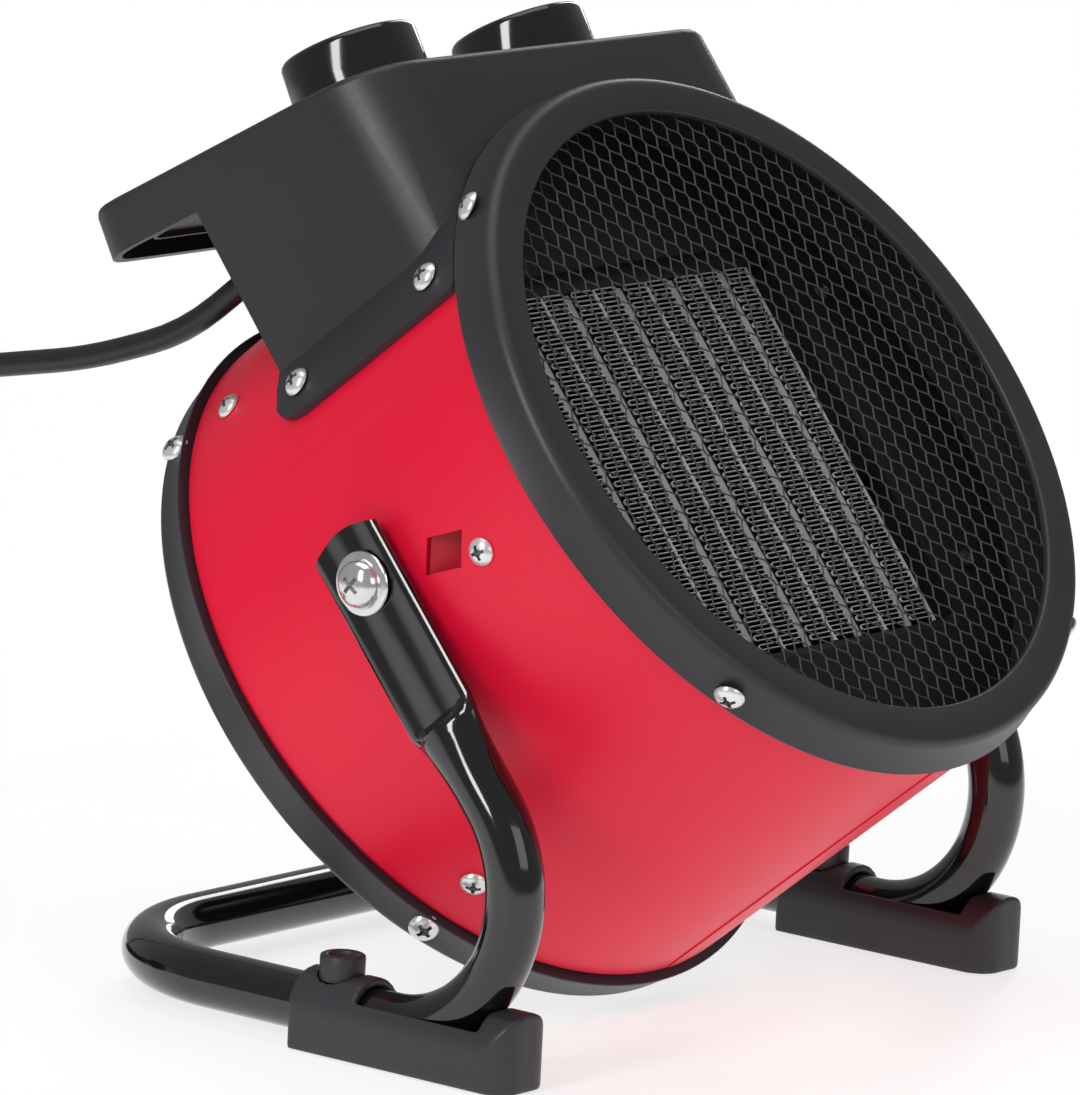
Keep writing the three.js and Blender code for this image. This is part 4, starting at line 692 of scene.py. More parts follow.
# %% [markdown]
# ## Plug, its pins and the tie
#
# The plug lies where the cord's end points. Its body is turned, pressed flat at the sides and grooved for the
# fingers, and a soft strap holds the turns of the coil together.
# %% Plug, pins and tie
plug_root = (lead_end + plug_axis * TOUCH_GAP) * MM + shift
side = Vector((0, 1, 0))
plug_turn = Matrix((side.cross(plug_axis), side, plug_axis)).transposed().to_4x4()
plug_place = Matrix.Translation(plug_root) @ plug_turn
body = [(0, 0.0), (4.2, 0.0), (4.8, 0.8)]
for k in range(5):
    foot = 2 + 4.2 * k
    outer = 4.9 + 1.1 * foot / 24
    body += [(outer, foot), (outer, foot + 2.4), (outer - 0.8, foot + 2.8), (outer - 0.8, foot + 3.8)]
body += [(6.2, 23.6), (10, 25.6), (13.2, 28), (16.6, 32.4), (18.2, 36), (18.5, 38)]
for k in range(4):
    foot = 40 + 3.0 * k
    body += [(18.5, foot), (17.9, foot + 0.4), (17.9, foot + 1.2), (18.5, foot + 1.6)]
body += [(18.5, 58.6), (17.4, 60), (0, 60)]
plug = turned(body, 64, close=False)
for turn in (-1, 1):
    cut(plug, block((6, 14, 22), (turn * 20.4, 0, 52)))
finished(plug, "plug_body", "stand", plug_rubber, plug_place, ["mains_plug"], sharp=40)
pin = turned([(0, 60.3), (2.4, 60.3), (2.4, 77.4), (2.1, 78.4), (1.3, 79), (0, 79)], 24, close=False)
for k, offset in ((1, -9.5), (2, 9.5)):
    twin = copy_of(pin)
    twin.data.transform(Matrix.Translation((0, offset * MM, 0)))
    finished(twin, f"contact_pin_{k}", "stand", zinc, plug_place, [f"plug_pin_{k}"])
bpy.data.objects.remove(pin)

inner, outer = coil_outer - 2 * COIL_PITCH - 5.6, coil_outer + 4.4
strap_points = [
    (inner + 0.4, 1.0), (outer - 1.5, 1.0), (outer, 2.0), (outer, 13.6),
    (outer - 1.8, 15.8), (inner + 1.8, 15.8), (inner, 13.6), (inner, 1.6),
]
strap = draw([(x, -6, z) for x, z in strap_points], close=True)
bpy.ops.mesh.extrude_region_move(TRANSFORM_OT_translate={"value": (0, 12 * MM, 0)})
tidy_mesh()
modify(strap, "SOLIDIFY", thickness=0.9 * MM, offset=1)
modify(strap, "BEVEL", width=0.25 * MM, segments=2)
strap_place = Matrix.Translation(coil_middle * MM + shift) @ Matrix.Rotation(math.radians(205), 4, "Z")
finished(strap, "coil_tie", "stand", dark_plastic, strap_place, sharp=30)

# %% [markdown]
# ## Casing
#
# The casing is one sheet rolled round and lapped along the bottom, with both ends drawn in so that the rings
# sit flush. Turning the sheet's outline gives clean rows of faces, which gloss paint needs.
# %% Casing
seat = DRUM_RADIUS - 1.4
step_front, step_rear = FRONT_FACE - RING_DEPTH - 0.15, REAR_FACE + RING_DEPTH + 0.15
seat_front, seat_rear = 65.9, -67.9
outline = [
    (seat, seat_front), (seat, step_front), (DRUM_RADIUS, step_front - 1.4), (DRUM_RADIUS, step_rear + 1.4),
    (seat, step_rear), (seat, seat_rear), (seat - 1, seat_rear), (seat - 1, step_rear + 0.5),
    (CASING_INNER, step_rear + 1.9), (CASING_INNER, step_front - 1.9), (seat - 1, step_front - 0.5),
    (seat - 1, seat_front),
]
casing = turned(outline, 180)


def faces_inwards(face):
    return Vector((face.center.x, face.center.y, 0)).normalized().dot(face.normal) < -0.3


two_tone(casing, casing_red, casing_inside, faces_inwards)

# %% [markdown]
# ## Pressed window and slots
#
# A square is pressed into the near side, deepest towards the outlet. The hole is cut first. Its pocket is a
# box whose lid is removed and whose rear edge is lifted to the surface.
# %% Pressed window, slots and the pocket behind the window
WINDOW_PLACE, WINDOW_HEIGHT = 23.3, -5
HALF_WIDE, HALF_HIGH = 5.8, 5.1
POCKET_DEPTH, POCKET_LIFT, SHEET = 9.5, 8.6, 0.7
window_slope = math.tan(math.radians(19))


def window_point(forward, up):
    """A corner of the window, as a place on the drum's axis and a height above it."""
    y = forward * HALF_WIDE
    z = up * HALF_HIGH + y * window_slope
    a = WINDOW_PLACE + y * math.cos(TILT) + z * math.sin(TILT)
    u = WINDOW_HEIGHT - y * math.sin(TILT) + z * math.cos(TILT)
    return a, u


corners = [window_point(f, u) for f, u in ((-1, -1), (1, -1), (1, 1), (-1, 1))]


def window_prism(x0, x1):
    """The window's outline drawn through from x0 to x1."""
    return prism([(x0, u, a) for a, u in corners], (x1 - x0, 0, 0))


slot_turn = math.radians(-84.5)
slots = []
for place in (47.5, -49.5):
    one = block((6, 1.1, 4.2), (104, 0, place))
    one.data.transform(Matrix.Rotation(slot_turn, 4, "Z"))
    slots.append(one)
cut(casing, window_prism(-112, -96), *slots)
finished(casing, "casing", "drum", casing_red, drum_axis, ["drum_shell"], sharp=30)

pocket = window_prism(-CASING_INNER - 0.1, -CASING_INNER + POCKET_DEPTH)
take(pocket)
bpy.ops.object.mode_set(mode="EDIT")
bpy.ops.mesh.select_all(action="DESELECT")
bpy.ops.mesh.select_mode(type="FACE")
bpy.ops.object.mode_set(mode="OBJECT")
for face in pocket.data.polygons:
    face.select = face.normal.x < -0.9
bpy.ops.object.mode_set(mode="EDIT")
bpy.ops.mesh.delete(type="FACE")
bpy.ops.mesh.select_mode(type="VERT")
bpy.ops.mesh.select_all(action="DESELECT")
bpy.ops.object.mode_set(mode="OBJECT")
inner_level = max(v.co.x for v in pocket.data.vertices)
rear_corners = [window_point(-1, -1), window_point(-1, 1)]
for vertex in pocket.data.vertices:
    near_rear = min(math.hypot(vertex.co.z / MM - a, vertex.co.y / MM - u) for a, u in rear_corners) < 1.5
    vertex.select = near_rear and vertex.co.x > inner_level - 1e-5
bpy.ops.object.mode_set(mode="EDIT")
bpy.ops.transform.translate(value=(-POCKET_LIFT * MM, 0, 0))
bpy.ops.mesh.select_all(action="SELECT")
bpy.ops.mesh.normals_make_consistent(inside=True)
bpy.ops.object.mode_set(mode="OBJECT")
modify(pocket, "SOLIDIFY", thickness=SHEET * MM, offset=-1)
# The pocket's darker red is painted shade.
finished(pocket, "pressed_pocket", "drum", pocket_shaded_red, drum_axis, sharp=30)

# %% [markdown]
# ## Lap seam
#
# Where the sheet's ends overlap, the outer end stands a sheet's thickness proud. A strip is spun over sixteen
# degrees and its points are raised little by little, so that it grows out of the casing and ends in an edge.
# %% Lap seam
SEAM_REAR, SEAM_FRONT, SEAM_DEPTH, SEAM_DEGREES = -57.8, 56.0, 0.9, 16
strip = draw([(DRUM_RADIUS - SEAM_DEPTH, 0, SEAM_REAR), (DRUM_RADIUS - SEAM_DEPTH, 0, SEAM_FRONT)])
bpy.ops.mesh.extrude_region_move(TRANSFORM_OT_translate={"value": (SEAM_DEPTH * MM, 0, 0)})
bpy.ops.mesh.select_all(action="SELECT")
bpy.ops.mesh.spin(steps=SEAM_DEGREES, angle=math.radians(-SEAM_DEGREES), center=(0, 0, 0), axis=(0, 0, 1))
tidy_mesh()
for vertex in strip.data.vertices:
    t = abs(math.degrees(math.atan2(vertex.co.y, vertex.co.x))) / SEAM_DEGREES
    outward = Vector((vertex.co.x, vertex.co.y, 0)).normalized()
    vertex.co += outward * (0.62 * (1 - t) - 0.25) * MM
strip.data.transform(Matrix.Rotation(math.radians(-88.2), 4, "Z"))
finished(strip, "lap_seam", "drum", casing_red, drum_axis, sharp=30)

# %% [markdown]
# ## End rings
#
# Each end wears a moulded ring with a flat face, a soft shoulder and a skirt that widens a little. Both are
# the same moulding, so the outline is turned once and the copy faces the other way.
# %% End rings
SHOULDER, SHOULDER_RADIUS = 105.2, 3.4
rounding = []
for degrees in range(10, 91, 10):
    d = math.radians(degrees)
    rounding.append((SHOULDER - SHOULDER_RADIUS * (1 - math.sin(d)), SHOULDER_RADIUS * (1 - math.cos(d))))
ring_outline = [
    (93.4, 2.1), (93.4, 0.9), (93.6, 0.4), (94.2, 0.0), (101.8, 0.0), *rounding,
    (107.2, 11.9), (107.4, 12.3), (107.25, 12.7), (103.7, 12.7), (103.7, 2.1),
]
for name, face, way in (("front_ring", FRONT_FACE, -1), ("rear_ring", REAR_FACE, 1)):
    ring = turned([(r, face + way * depth) for r, depth in ring_outline], 180)
    finished(ring, name.replace("ring", "bezel"), "drum", moulded, drum_axis, [name], sharp=40)

# %% [markdown]
# ## Expanded metal guards
#
# A slit sheet is pulled open, so the strands form rhombic meshes joined by short bonds. One six-sided mesh
# is drawn, repeated in two directions, cut to a disc and given the strands' thickness by Wireframe.
# %% Expanded metal guards
SHORT_WAY, LONG_WAY, BOND, STRAND = 6.38, 9.45, 1.7, 0.62
SHEET_TURN = math.radians(18.2)


def guard(radius, rows):
    """A disc of expanded metal: one mesh in rows, and what lies past the radius is deleted."""
    rise = LONG_WAY / 2
    six = [
        (0, rise - BOND / 2, 0), (SHORT_WAY / 2, BOND / 2, 0), (SHORT_WAY / 2, -BOND / 2, 0),
        (0, BOND / 2 - rise, 0), (-SHORT_WAY / 2, -BOND / 2, 0), (-SHORT_WAY / 2, BOND / 2, 0),
    ]
    cell = draw(six, close=True)
    bpy.ops.mesh.edge_face_add()
    bpy.ops.object.mode_set(mode="OBJECT")
    twin = copy_of(cell)
    twin.data.transform(Matrix.Translation(Vector((SHORT_WAY / 2, LONG_WAY / 2, 0)) * MM))
    sheet = joined([cell, twin])
    repeated(sheet, rows, (SHORT_WAY, 0, 0))
    repeated(sheet, int(rows * SHORT_WAY / LONG_WAY), (0, LONG_WAY, 0))
    take(sheet)
    bpy.ops.object.mode_set(mode="EDIT")
    bpy.ops.mesh.select_all(action="SELECT")
    bpy.ops.mesh.remove_doubles(threshold=1e-5)
    bpy.ops.object.mode_set(mode="OBJECT")
    span = Vector((rows * SHORT_WAY / 2, rows * SHORT_WAY / 2, 0)) * MM
    sheet.data.transform(Matrix.Rotation(SHEET_TURN, 4, "Z") @ Matrix.Translation(-span))
    for vertex in sheet.data.vertices:
        vertex.select = vertex.co.xy.length > radius * MM
    for edge in sheet.data.edges:
        edge.select = all(sheet.data.vertices[v].select for v in edge.vertices)
    for face in sheet.data.polygons:
        face.select = all(sheet.data.vertices[v].select for v in face.vertices)
    bpy.ops.object.mode_set(mode="EDIT")
    bpy.ops.mesh.select_mode(type="VERT")
    bpy.ops.mesh.delete(type="VERT")
    bpy.ops.object.mode_set(mode="OBJECT")
    return modify(
        sheet, "WIREFRAME", thickness=STRAND * MM, use_replace=True, use_even_offset=False, use_boundary=True,
    )


for name, face, way in (("front_grille", FRONT_FACE, -1), ("rear_grille", REAR_FACE, 1)):
    strands = guard(101.5, 34)
    strands.data.transform(Matrix.Translation((0, 0, (face + way * 3.2) * MM)))
    rim_at = face + way * 2.5
    rim = turned([(97, rim_at), (102.6, rim_at), (102.6, rim_at + way * 2.2), (101.2, rim_at + way * 2.2),
                  (101.2, rim_at + way * 1.1), (97, rim_at + way * 1.1)], 96)
    whole = joined([strands, rim])
    finished(whole, name.replace("grille", "guard"), "drum", guard_black, drum_axis, [name], 40)

# %% [markdown]
# ## Heating element
#
# Five ceramic strips are clamped between rows of folded aluminium. A row is a thin ribbon folded to and fro
# with legs 1.4 mm apart, soldered between a plate on the strip and a middle plate. One fold is drawn and
# extruded, an array repeats it, and Solidify gives the sheet its thickness.
# %% Heating element
ELEMENT_DEPTH, ELEMENT_HEIGHT = 16.0, 114.0
CERAMIC_PITCH, CERAMIC_COUNT = 23.0, 5
LEG = 1.425
row_wide = CERAMIC_PITCH / 2 - 1.75 - 0.5


def fin_row():
    """One ribbon, from x = 0 to the row's width, centred in height."""
    fold = [
        (0.5, 0), (0.1, 0.25), (0.0, LEG / 2), (0.1, LEG - 0.25), (0.5, LEG),
        (row_wide - 0.5, LEG), (row_wide - 0.1, LEG + 0.25), (row_wide, 1.5 * LEG),
        (row_wide - 0.1, 2 * LEG - 0.25), (row_wide - 0.5, 2 * LEG), (0.5, 2 * LEG),
    ]
    ribbon = draw([(x, y - ELEMENT_HEIGHT / 2, 0) for x, y in fold])
    bpy.ops.mesh.extrude_region_move(TRANSFORM_OT_translate={"value": (0, 0, -ELEMENT_DEPTH * MM)})
    bpy.ops.object.mode_set(mode="OBJECT")
    repeated(ribbon, int(ELEMENT_HEIGHT / 2 / LEG), (0, 2 * LEG, 0))
    return modify(ribbon, "SOLIDIFY", thickness=0.24 * MM, offset=0)


element_place = drum_axis @ Matrix.Translation((0, 0, ELEMENT_FRONT * MM))
master = fin_row()
for k in range(CERAMIC_COUNT + 1):
    x = (k - CERAMIC_COUNT / 2) * CERAMIC_PITCH
    edge = -1 if k == 0 else 1 if k == CERAMIC_COUNT else 0
    plate_x = x - edge * 0.4
    parts = [block((0.8, ELEMENT_HEIGHT, ELEMENT_DEPTH), (plate_x, 0, -ELEMENT_DEPTH / 2))]
    for way in ((-1, 1) if edge == 0 else (-edge,)):
        row = copy_of(master)
        aside = Matrix.Translation(((plate_x + way * 0.45) * MM, 0, 0))
        row.data.transform(aside @ Matrix.Diagonal((way, 1, 1, 1)))
        if way < 0:
            row.data.flip_normals()
        sheet_x = x + way * (CERAMIC_PITCH / 2 - 1.95)
        parts += [row, block((0.3, ELEMENT_HEIGHT, ELEMENT_DEPTH - 1.2), (sheet_x, 0, -8.4))]
    element = joined(parts)
    stands_for = [f"ptc_fins_{k + 1}"]
    finished(element, f"folded_fins_{k + 1}", "drum", fin_metal, element_place, stands_for, 40)
bpy.data.objects.remove(master)
for k in range(CERAMIC_COUNT):
    x = (k - (CERAMIC_COUNT - 1) / 2) * CERAMIC_PITCH
    strip = block((3.3, ELEMENT_HEIGHT, ELEMENT_DEPTH - 0.9), (x, 0, -ELEMENT_DEPTH / 2 - 0.4))
    modify(strip, "BEVEL", width=0.5 * MM, segments=2)
    stands_for = [f"ptc_ceramic_{k + 1}"]
    finished(strip, f"ceramic_strip_{k + 1}", "drum", ceramic, element_place, stands_for, 40)

# %% [markdown]
# ## Screws
#
# The pan heads are pressed, with a cross recess. One head is turned, its recess is cut by two crossed bars,
# and copies go to the rings, the box and the casing, each turned a little differently.
# %% Screws
head_outline = [
    (0, 2.35), (1.2, 2.28), (2.3, 1.95), (3.2, 1.35), (3.75, 0.7), (3.85, 0.3), (3.7, 0.05), (3.2, 0), (0, 0),
]


def cross_recess(head, size, height, turn=0):
    """Cuts two crossed bars into a head."""
    for quarter in (0, 90):
        bar = block(size, (0, 0, height))
        bar.data.transform(Matrix.Rotation(math.radians(quarter + turn), 4, "Z"))
        cut(head, bar)


def in_recess(face, reach, crown, curve, least=-1.0):
    """Tells whether a face lies near the axis and below the dome."""
    r = face.center.xy.length / MM
    return r < reach and least < face.center.z / MM < crown - curve * r * r


screw = turned(head_outline, 32, close=False)
cross_recess(screw, (0.95, 4.2, 2.4), 2.5)
cut(screw, turned([(0, 0.7), (0.5, 1.0), (1.3, 2.6), (0, 2.6)], 16, close=False))
two_tone(screw, zinc, recess_shade, lambda face: in_recess(face, 2.4, 2.2, 0.09))


def put_screw(name, place, turn, size=1.0, replaces=(), finish=zinc):
    """Sets a copy of the head at a place, turned and scaled."""
    one = copy_of(screw)
    one.data.materials[0] = finish.material
    one.data.transform(Matrix.Rotation(turn, 4, "Z") @ Matrix.Diagonal((size, size, size, 1)))
    return finished(one, name, "drum", finish, place, replaces, 30)


slope = math.atan2(2.2, RING_DEPTH - 3.4)
ring_screw_radius = 107.4 - 4.2 * math.tan(slope)
for end, place, lean in (
    ("front", FRONT_FACE - RING_DEPTH + 4.2, slope),
    ("rear", REAR_FACE + RING_DEPTH - 4.2, -slope),
):
    for k in range(4):
        angle = math.radians(45 + 90 * k)
        spot = on_drum(ring_screw_radius + 0.25, place, angle, -lean)
        put_screw(f"ring_head_{end}_{k + 1}", spot, 0.7 * k + place, 1.12, [f"ring_screw_{end}_{k + 1}"])
flange_root = math.asin(79 / 105.1)
for row, place in ((1, 46.5), (2, -8.3)):
    for word, way in (("left", -1), ("right", 1)):
        angle = math.radians(90) - way * (flange_root + math.radians(4.4))
        spot = on_drum(107.25, place, angle)
        put_screw(f"flange_head_{word}_{row}", spot, place + way, 1.08, [f"box_screw_{word}_{row}"])
casing_screws = ((133.4, -43.8), (-173.9, 34.3), (-135.2, -43.1), (-6.1, 34.3), (46.6, -43.8), (-44.8, -43.1))
for k, (angle, place) in enumerate(casing_screws):
    spot = on_drum(DRUM_RADIUS + 0.02, place, math.radians(angle))
    put_screw(f"casing_head_{k + 1}", spot, 0.9 * k + 0.4)
for k, (x, y) in enumerate(((-76, -43.5), (76, -43.5), (-76, 43.5), (76, 43.5))):
    spot = drum_axis @ Matrix.Translation(Vector((x, y, SHIELD_FACE + 0.05)) * MM)
    put_screw(f"shield_head_{k + 1}", spot, 0.5 * k, 0.8, finish=shield_dark)
bpy.data.objects.remove(screw)

# %% [markdown]
# ## Control box
#
# The box is one moulding with soft vertical corners and two screwed flanges that follow the drum. Its shape
# is already right in the frame, so a copy is merged, and its large flat faces decide the shading. A dished
# plate closes the front part of the hood from below, and the fingers find its lip.
# %% Control box and the plate under its hood
dressed("control_box", "control_housing", "drum", moulded)
PLATE_SIDE, PLATE_FRONT, PLATE_REAR, PLATE_CORNER = 75.6, 38.5, 62.6, 5.5
LIP_WIDTH, LIP_BOTTOM, PLATE_BOTTOM, PLATE_TOP = 1.1, -14.4, -12.9, -12.0


def plate_prism(inset, low, high):
    """The plate's outline, set in by a margin and drawn through from low to high under the panel."""
    side, front, rear = PLATE_SIDE - inset, PLATE_FRONT + inset, PLATE_REAR - inset
    bend = PLATE_CORNER - inset
    ring = [(-side, front), (side, front)]
    for way in (1, -1):
        for degrees in range(0, 91, 15)[::way]:
            d = math.radians(degrees)
            ring.append((way * (side - bend * (1 - math.cos(d))), rear - bend * (1 - math.sin(d))))
    return prism([(x, y, low) for x, y in ring], (0, 0, high - low))


plate = cut(plate_prism(0, LIP_BOTTOM, PLATE_TOP), plate_prism(LIP_WIDTH, LIP_BOTTOM - 1, PLATE_BOTTOM))
modify(plate, "BEVEL", width=0.25 * MM, segments=2, limit_method="ANGLE")
# Painted shade: the plate's hollow face takes the darker plastic, standing in for the shade under the hood.
two_tone(plate, moulded, dark_plastic, lambda face: abs(face.center.z / MM - PLATE_BOTTOM) < 0.1)
finished(plate, "hood_plate", "drum", moulded, on_panel(0, 0), sharp=35)

# %% [markdown]
# ## Control knobs
#
# Each knob is a hollow cylinder with a slightly domed top, so its outline is turned. A raised pointer with a
# white line shows the setting, and small ticks stand round it on the panel.
# %% Control knobs and the dial ticks
knob_outline = [
    (0, 15.2), (3.3, 15.2), (3.3, 3.1), (6, 3.1), (6, 15.2), (17.2, 15.2), (17.4, 0.9), (17.7, 0.6),
    (19.4, 0.6), (19.7, 0.9), (19.55, 8), (19.4, 15.6), (19.1, 16.5), (18.4, 17.2), (17.4, 17.5),
    (9, 17.75), (0, 17.85),
]
for x, knob, word in ((-37, "thermostat_knob", "thermostat_control"), (37, "power_knob", "power_control")):
    cap = turned(knob_outline, 96, close=False)
    finished(cap, knob.replace("knob", "cap"), word, knob_gloss, on_panel(x, -4), [knob], 35)
    pointer = block((3.4, 17, 1.0), (0, 9.2, 18.0))
    modify(pointer, "BEVEL", width=0.45 * MM, segments=3)
    finished(pointer, knob.replace("knob", "pointer"), word, knob_gloss, on_panel(x, -4))
    line = block((0.9, 9, 0.2), (0, 12.4, 18.52))
    modify(line, "BEVEL", width=0.06 * MM, segments=1)
    finished(line, knob.replace("knob", "pointer_line"), word, marking, on_panel(x, -4))
    ticks = []
    span, count = (270, 10) if x < 0 else (135, 4)
    for k in range(count):
        tick = block((0.8, 2.6, 0.14), (0, 23.6, 0.06))
        tick.data.transform(Matrix.Rotation(math.radians(-span * k / (count - 1)), 4, "Z"))
        ticks.append(tick)
    finished(joined(ticks), knob.replace("knob", "dial_ticks"), "drum", marking, on_panel(x, -4))

# %% [markdown]
# ## Stand tube
#
# The stand is one steel tube, bent in four places and pressed flat at both ends. The press leaves a sharp
# fold on the outer face, where the flat meets the round tube, while the sides narrow more slowly. So the
# outer half of each ring comes back to its round shape sooner than the inner half. Two shallow grooves run
# down the flat.
# %% Stand tube
LEG_SPACING, TUBE_RADIUS, LEG_LEAN = 108.5, 8.0, math.radians(49.5)
BEND_RADIUS, FLOOR_BEND_RADIUS, CROSSBAR_SETBACK = 39.4, 48.0, 97.0
FLAT_LENGTH, FLAT_NECK, FLAT_END, END_ARCH = 42.0, 22.0, 12.3, 3.4
FLAT_WIDTH, FLAT_THICKNESS, FLAT_OFFSET = 24.4, 3.2, 1.2
FOLD, WAVE = 0.15, 0.5
TUBE_SIDES = 32
FOOT_FLOOR = 2.5
floor_axis = FOOT_FLOOR + TOUCH_GAP + TUBE_RADIUS
bend_height = floor_axis + BEND_RADIUS
bend_place = (BEND_RADIUS - (PIVOT_HEIGHT - bend_height) * math.cos(LEG_LEAN)) / math.sin(LEG_LEAN)
down = Vector((0, -math.cos(LEG_LEAN), -math.sin(LEG_LEAN)))


def leg_spot(distance):
    return Vector((-LEG_SPACING, 0, PIVOT_HEIGHT)) + down * distance


def tube_ring(centre, ahead, flat=0.0, past_fold=1.0, arch=0.0):
    """One ring of the tube. Past the fold, the outer half is round in its middle sooner than at its edges."""
    side = Vector((1, 0, 0)) if abs(ahead.z) > 1e-6 else Vector((ahead.y, -ahead.x, 0))
    other = ahead.cross(side)
    ring = []
    for k in range(TUBE_SIDES):
        t, s = math.cos(2 * math.pi * k / TUBE_SIDES), math.sin(2 * math.pi * k / TUBE_SIDES)
        steep = min(abs(3 * t), 1)
        edge = FLAT_THICKNESS * 0.4
        middle = FLAT_WIDTH / 2 - edge
        width = middle + edge * math.sqrt(1 - steep**2) if steep < 1 else middle * abs(s) / math.sqrt(8 / 9)
        outward = min(max(-t / 0.7, 0), 1)
        outer_flat = max(1 - past_fold / (FOLD + (1 - FOLD) * s**6), 0)
        pressed = flat + (outer_flat - flat) * outward * outward * (3 - 2 * outward)
        thick = TUBE_RADIUS * t * (1 - pressed) + math.copysign(steep * FLAT_THICKNESS / 2, t) * pressed
        thick += WAVE / 2 * outer_flat * outward * (1 - math.cos(2 * math.pi * s / 0.9))
        wide = TUBE_RADIUS * s * (1 - flat) + math.copysign(width, s) * flat
        rise = arch * (1 - (2 * wide / FLAT_WIDTH) ** 2)
        ring.append(centre + side * (thick - pressed * FLAT_OFFSET) + other * wide - ahead * rise)
    return ring


stations = [
    (leg_spot(-FLAT_END), down, 1, 0, END_ARCH),
    (leg_spot(-FLAT_END + 4), down, 1, 0, END_ARCH * 0.6),
]
stations += [(leg_spot(q), down, 1, 0, 0) for q in (8, 25, FLAT_LENGTH - 1)]
for q in (0, 0.05, 0.1, 0.15, 0.2, 0.3, 0.4, 0.5, 0.6, 0.7, 0.8, 0.9, 1):
    stations.append((leg_spot(FLAT_LENGTH + q * FLAT_NECK), down, (1 - q) ** 1.6, q, 0))
start = math.pi / 2 + LEG_LEAN
for k in range(1, 37):
    angle = start + (1.5 * math.pi - start) * k / 36
    middle = Vector((
        -LEG_SPACING,
        bend_place + BEND_RADIUS * math.cos(angle),
        bend_height + BEND_RADIUS * math.sin(angle),
    ))
    stations.append((middle, Vector((0, -math.sin(angle), math.cos(angle) if k < 36 else 0)), 0, 1, 0))
for k in range(25):
    angle = math.pi - math.pi / 2 * k / 24
    middle = Vector((FLOOR_BEND_RADIUS * (1 + math.cos(angle)) - LEG_SPACING,
                     CROSSBAR_SETBACK - FLOOR_BEND_RADIUS * (1 - math.sin(angle)), floor_axis))
    stations.append((middle, Vector((math.sin(angle), -math.cos(angle), 0)), 0, 1, 0))
half = [[p * MM + shift for p in tube_ring(*station)] for station in stations]
mirrored = [[Vector((-p.x, p.y, p.z)) for p in ring] for ring in reversed(half)]
tube = lofted(half + mirrored)
bore = turned([(0, -130), (3.4, -130), (3.4, 130), (0, 130)], 32, close=False)
bore.data.transform(Matrix.Translation(pivot) @ Matrix.Rotation(math.radians(90), 4, "Y"))
cut(tube, bore)
finished(tube, "bent_tube", "stand", stand_black, replaces=["stand_tube"], sharp=38)

# %% [markdown]
# ## Feet and pegs
#
# Each foot is a moulded block that grips the tube with two arches. Its form is already right in the frame,
# so a copy carries the finish, and fine even cells are laid over it and smoothed, which rounds its edges as
# a mould leaves them. The dished peg that pins it to the tube is turned.
# %% Feet and pegs
FOOT_CELL, FOOT_SMOOTHING = 0.5, 14
peg_outline = [
    (0, 0), (6.15, 0), (6.2, 0.3), (6.2, 6.6), (6.0, 7.1), (5.5, 7.4), (4.6, 7.4), (4.1, 7.2), (3.8, 6.6),
    (3.2, 6.2), (0, 6.1),
]
for word in ("left", "right"):
    foot = dressed(f"foot_{word}", f"moulded_foot_{word}", "stand", moulded)
    modify(foot, "REMESH", mode="VOXEL", voxel_size=FOOT_CELL * MM, use_smooth_shade=True)
    modify(foot, "SMOOTH", factor=0.5, iterations=FOOT_SMOOTHING)
    peg = turned(peg_outline, 40, close=False)
    low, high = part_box(f"foot_peg_{word}")
    peg.data.transform(Matrix.Diagonal((1, 1, (high.z - low.z) / (7.4 * MM), 1)))
    place = Matrix.Translation(((low.x + high.x) / 2, (low.y + high.y) / 2, low.z))
    finished(peg, f"peg_{word}", "stand", moulded, place, [f"foot_peg_{word}"], 35)

# %% [markdown]
# ## Pivot bolts
#
# The drum hangs on two bolts with a pressed flange and a dome. A ring groove parts the flange from the dome.
# %% Pivot bolts
bolt_outline = [
    (0, 6.1), (1.8, 6.0), (3.6, 5.55), (5.1, 4.7), (6.1, 3.6), (6.5, 2.5), (6.6, 1.9), (6.9, 1.5),
    (7.4, 1.45), (8.1, 1.4), (8.6, 1.15), (8.8, 0.7), (8.6, 0.3), (8.2, 0.3), (3, 0.3), (3, -14), (0, -14),
]
strap_face = LEG_SPACING + FLAT_OFFSET + FLAT_THICKNESS / 2
for word, turn in (("left", math.pi), ("right", 0.0)):
    bolt = turned(bolt_outline, 64, close=False)
    cross_recess(bolt, (1.2, 5.6, 2.6), 6.4, 12)
    two_tone(bolt, bright_zinc, recess_shade, lambda face: in_recess(face, 3.2, 5.9, 0.05, least=4))
    place = on_drum(strap_face, 0, turn)
    finished(bolt, f"flange_bolt_{word}", "drum", bright_zinc, place, [f"pivot_bolt_{word}"], 32)

# %% [markdown]
# ## Pieces that keep their CAD form
#
# What sits inside or behind another piece keeps its solid and only gets its finish.
# %% Finishes for the CAD pieces that still show
finish_of = {
    "shield": shield_dark, "ceramic": ceramic, "resin": pale_resin, "plastic": dark_plastic,
    "steel": motor_steel, "fan": fan_metal, "brass": brass, "zinc": zinc, "fin": fin_metal,
    "mould": moulded, "rubber": plug_rubber,
}
kept = [name for name, node in nodes.items() if not node.hide_render]
for name in kept:
    for slot in nodes[name].material_slots:
        slot.material = (dark_plastic if "holder" in name else finish_of[slot_of[name]]).material
print("kept CAD pieces", sorted(kept))

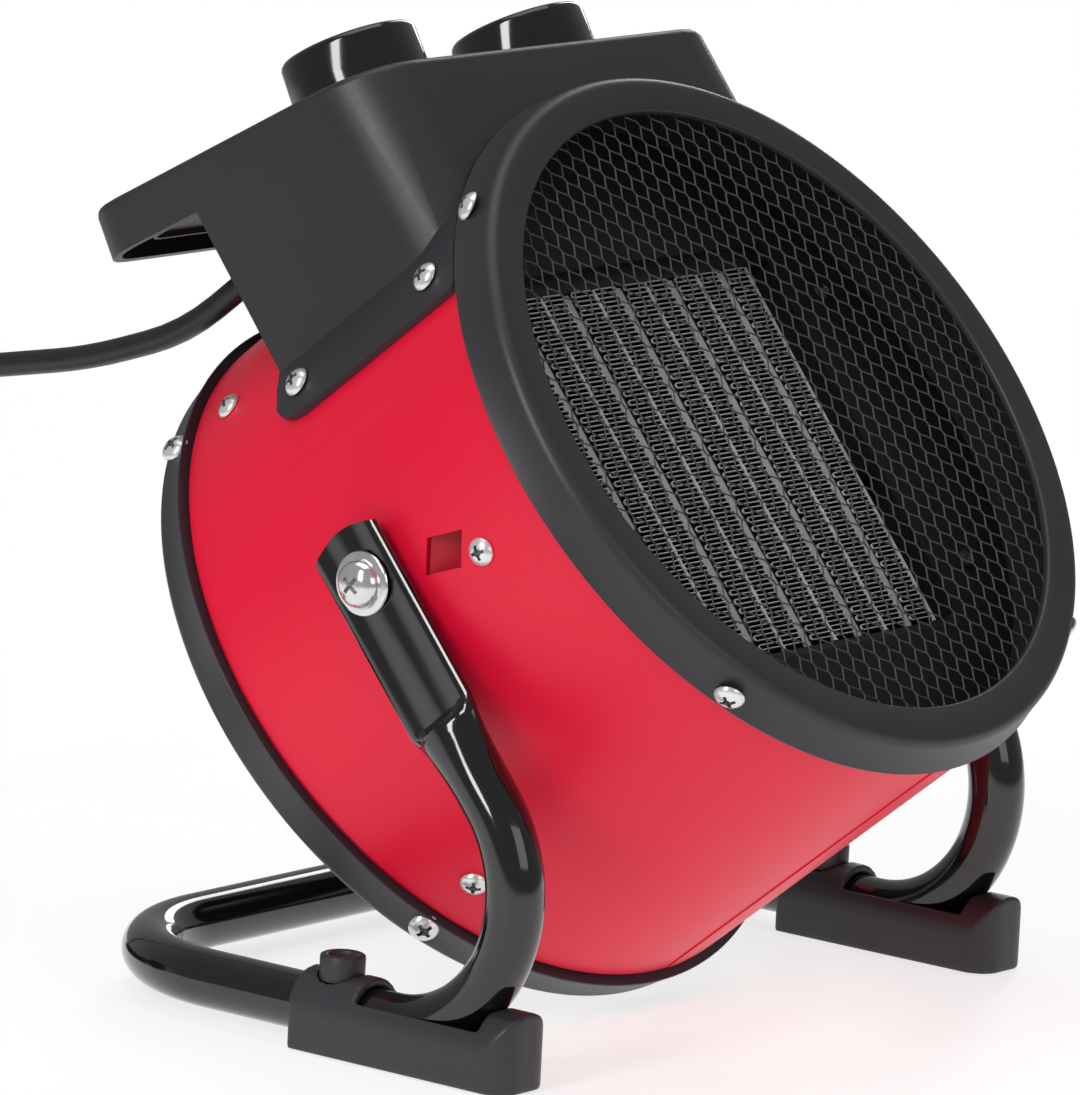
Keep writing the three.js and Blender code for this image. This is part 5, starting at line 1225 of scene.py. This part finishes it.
# %% [markdown]
# ## Floor and light
#
# A pale floor fades into a white surround. A narrow key from the left, a weak fill from the front, a broad
# light overhead and a thin one behind give the long soft reflections of a studio table.
# %% Floor, surround and lamps
deselect()
bpy.ops.mesh.primitive_plane_add(size=2.6, location=(0, 0, -0.0004))
floor = bpy.context.object
floor.name = "floor"
paper = Finish("paper", (0.30, 0.30, 0.30), 0.8, Emission_Color=(1, 1, 1, 1), Emission_Strength=0.74)
paper.give("Roughness", paper.noise(400, 2.0) * 0.1 + 0.7)
far = paper.node("ShaderNodeVectorMath", {0: paper.place}, operation="LENGTH").outputs["Value"]
fade = {"Value": far, "From Min": 0.40, "From Max": 1.15, "To Min": 1.0, "To Max": 0.0}
paper.give("Alpha", paper.node("ShaderNodeMapRange", fade, interpolation_type="SMOOTHSTEP").outputs["Result"])
floor.data.materials.append(paper.material)
world = bpy.data.worlds.new("surround")
world.use_nodes = True
sky = world.node_tree
seen = sky.nodes.new("ShaderNodeLightPath").outputs["Is Camera Ray"]
strength = sky.nodes.new("ShaderNodeMapRange")
strength.inputs["To Min"].default_value = 0.26
strength.inputs["To Max"].default_value = 1.0
sky.links.new(seen, strength.inputs["Value"])
sky.links.new(strength.outputs["Result"], sky.nodes["Background"].inputs["Strength"])
sky.nodes["Background"].inputs["Color"].default_value = (1, 1, 1, 1)
bpy.context.scene.world = world
bpy.context.scene.view_settings.view_transform = "Standard"
for name, size, power, spot, aim in (
    ("key", (0.5, 1.7), 33, (-2.25, -0.05, 1.45), (0, 0, 0.14)),
    ("front", (1.6, 1.2), 9, (-0.5, -2.7, 1.1), (0, 0, 0.12)),
    ("overhead", (1.8, 1.8), 14, (0.1, 0.3, 2.3), (0, 0, 0.1)),
    ("rim", (0.4, 1.5), 9, (1.9, 0.9, 1.0), (0, 0, 0.15)),
):
    lamp_data = bpy.data.lights.new(name, "AREA")
    lamp_data.shape = "RECTANGLE"
    lamp_data.size, lamp_data.size_y = size
    lamp_data.energy = power
    lamp = bpy.data.objects.new(name, lamp_data)
    facing = (Vector(spot) - Vector(aim)).to_track_quat("Z", "Y").to_matrix().to_4x4()
    lamp.matrix_world = Matrix.Translation(spot) @ facing
    bpy.context.scene.collection.objects.link(lamp)
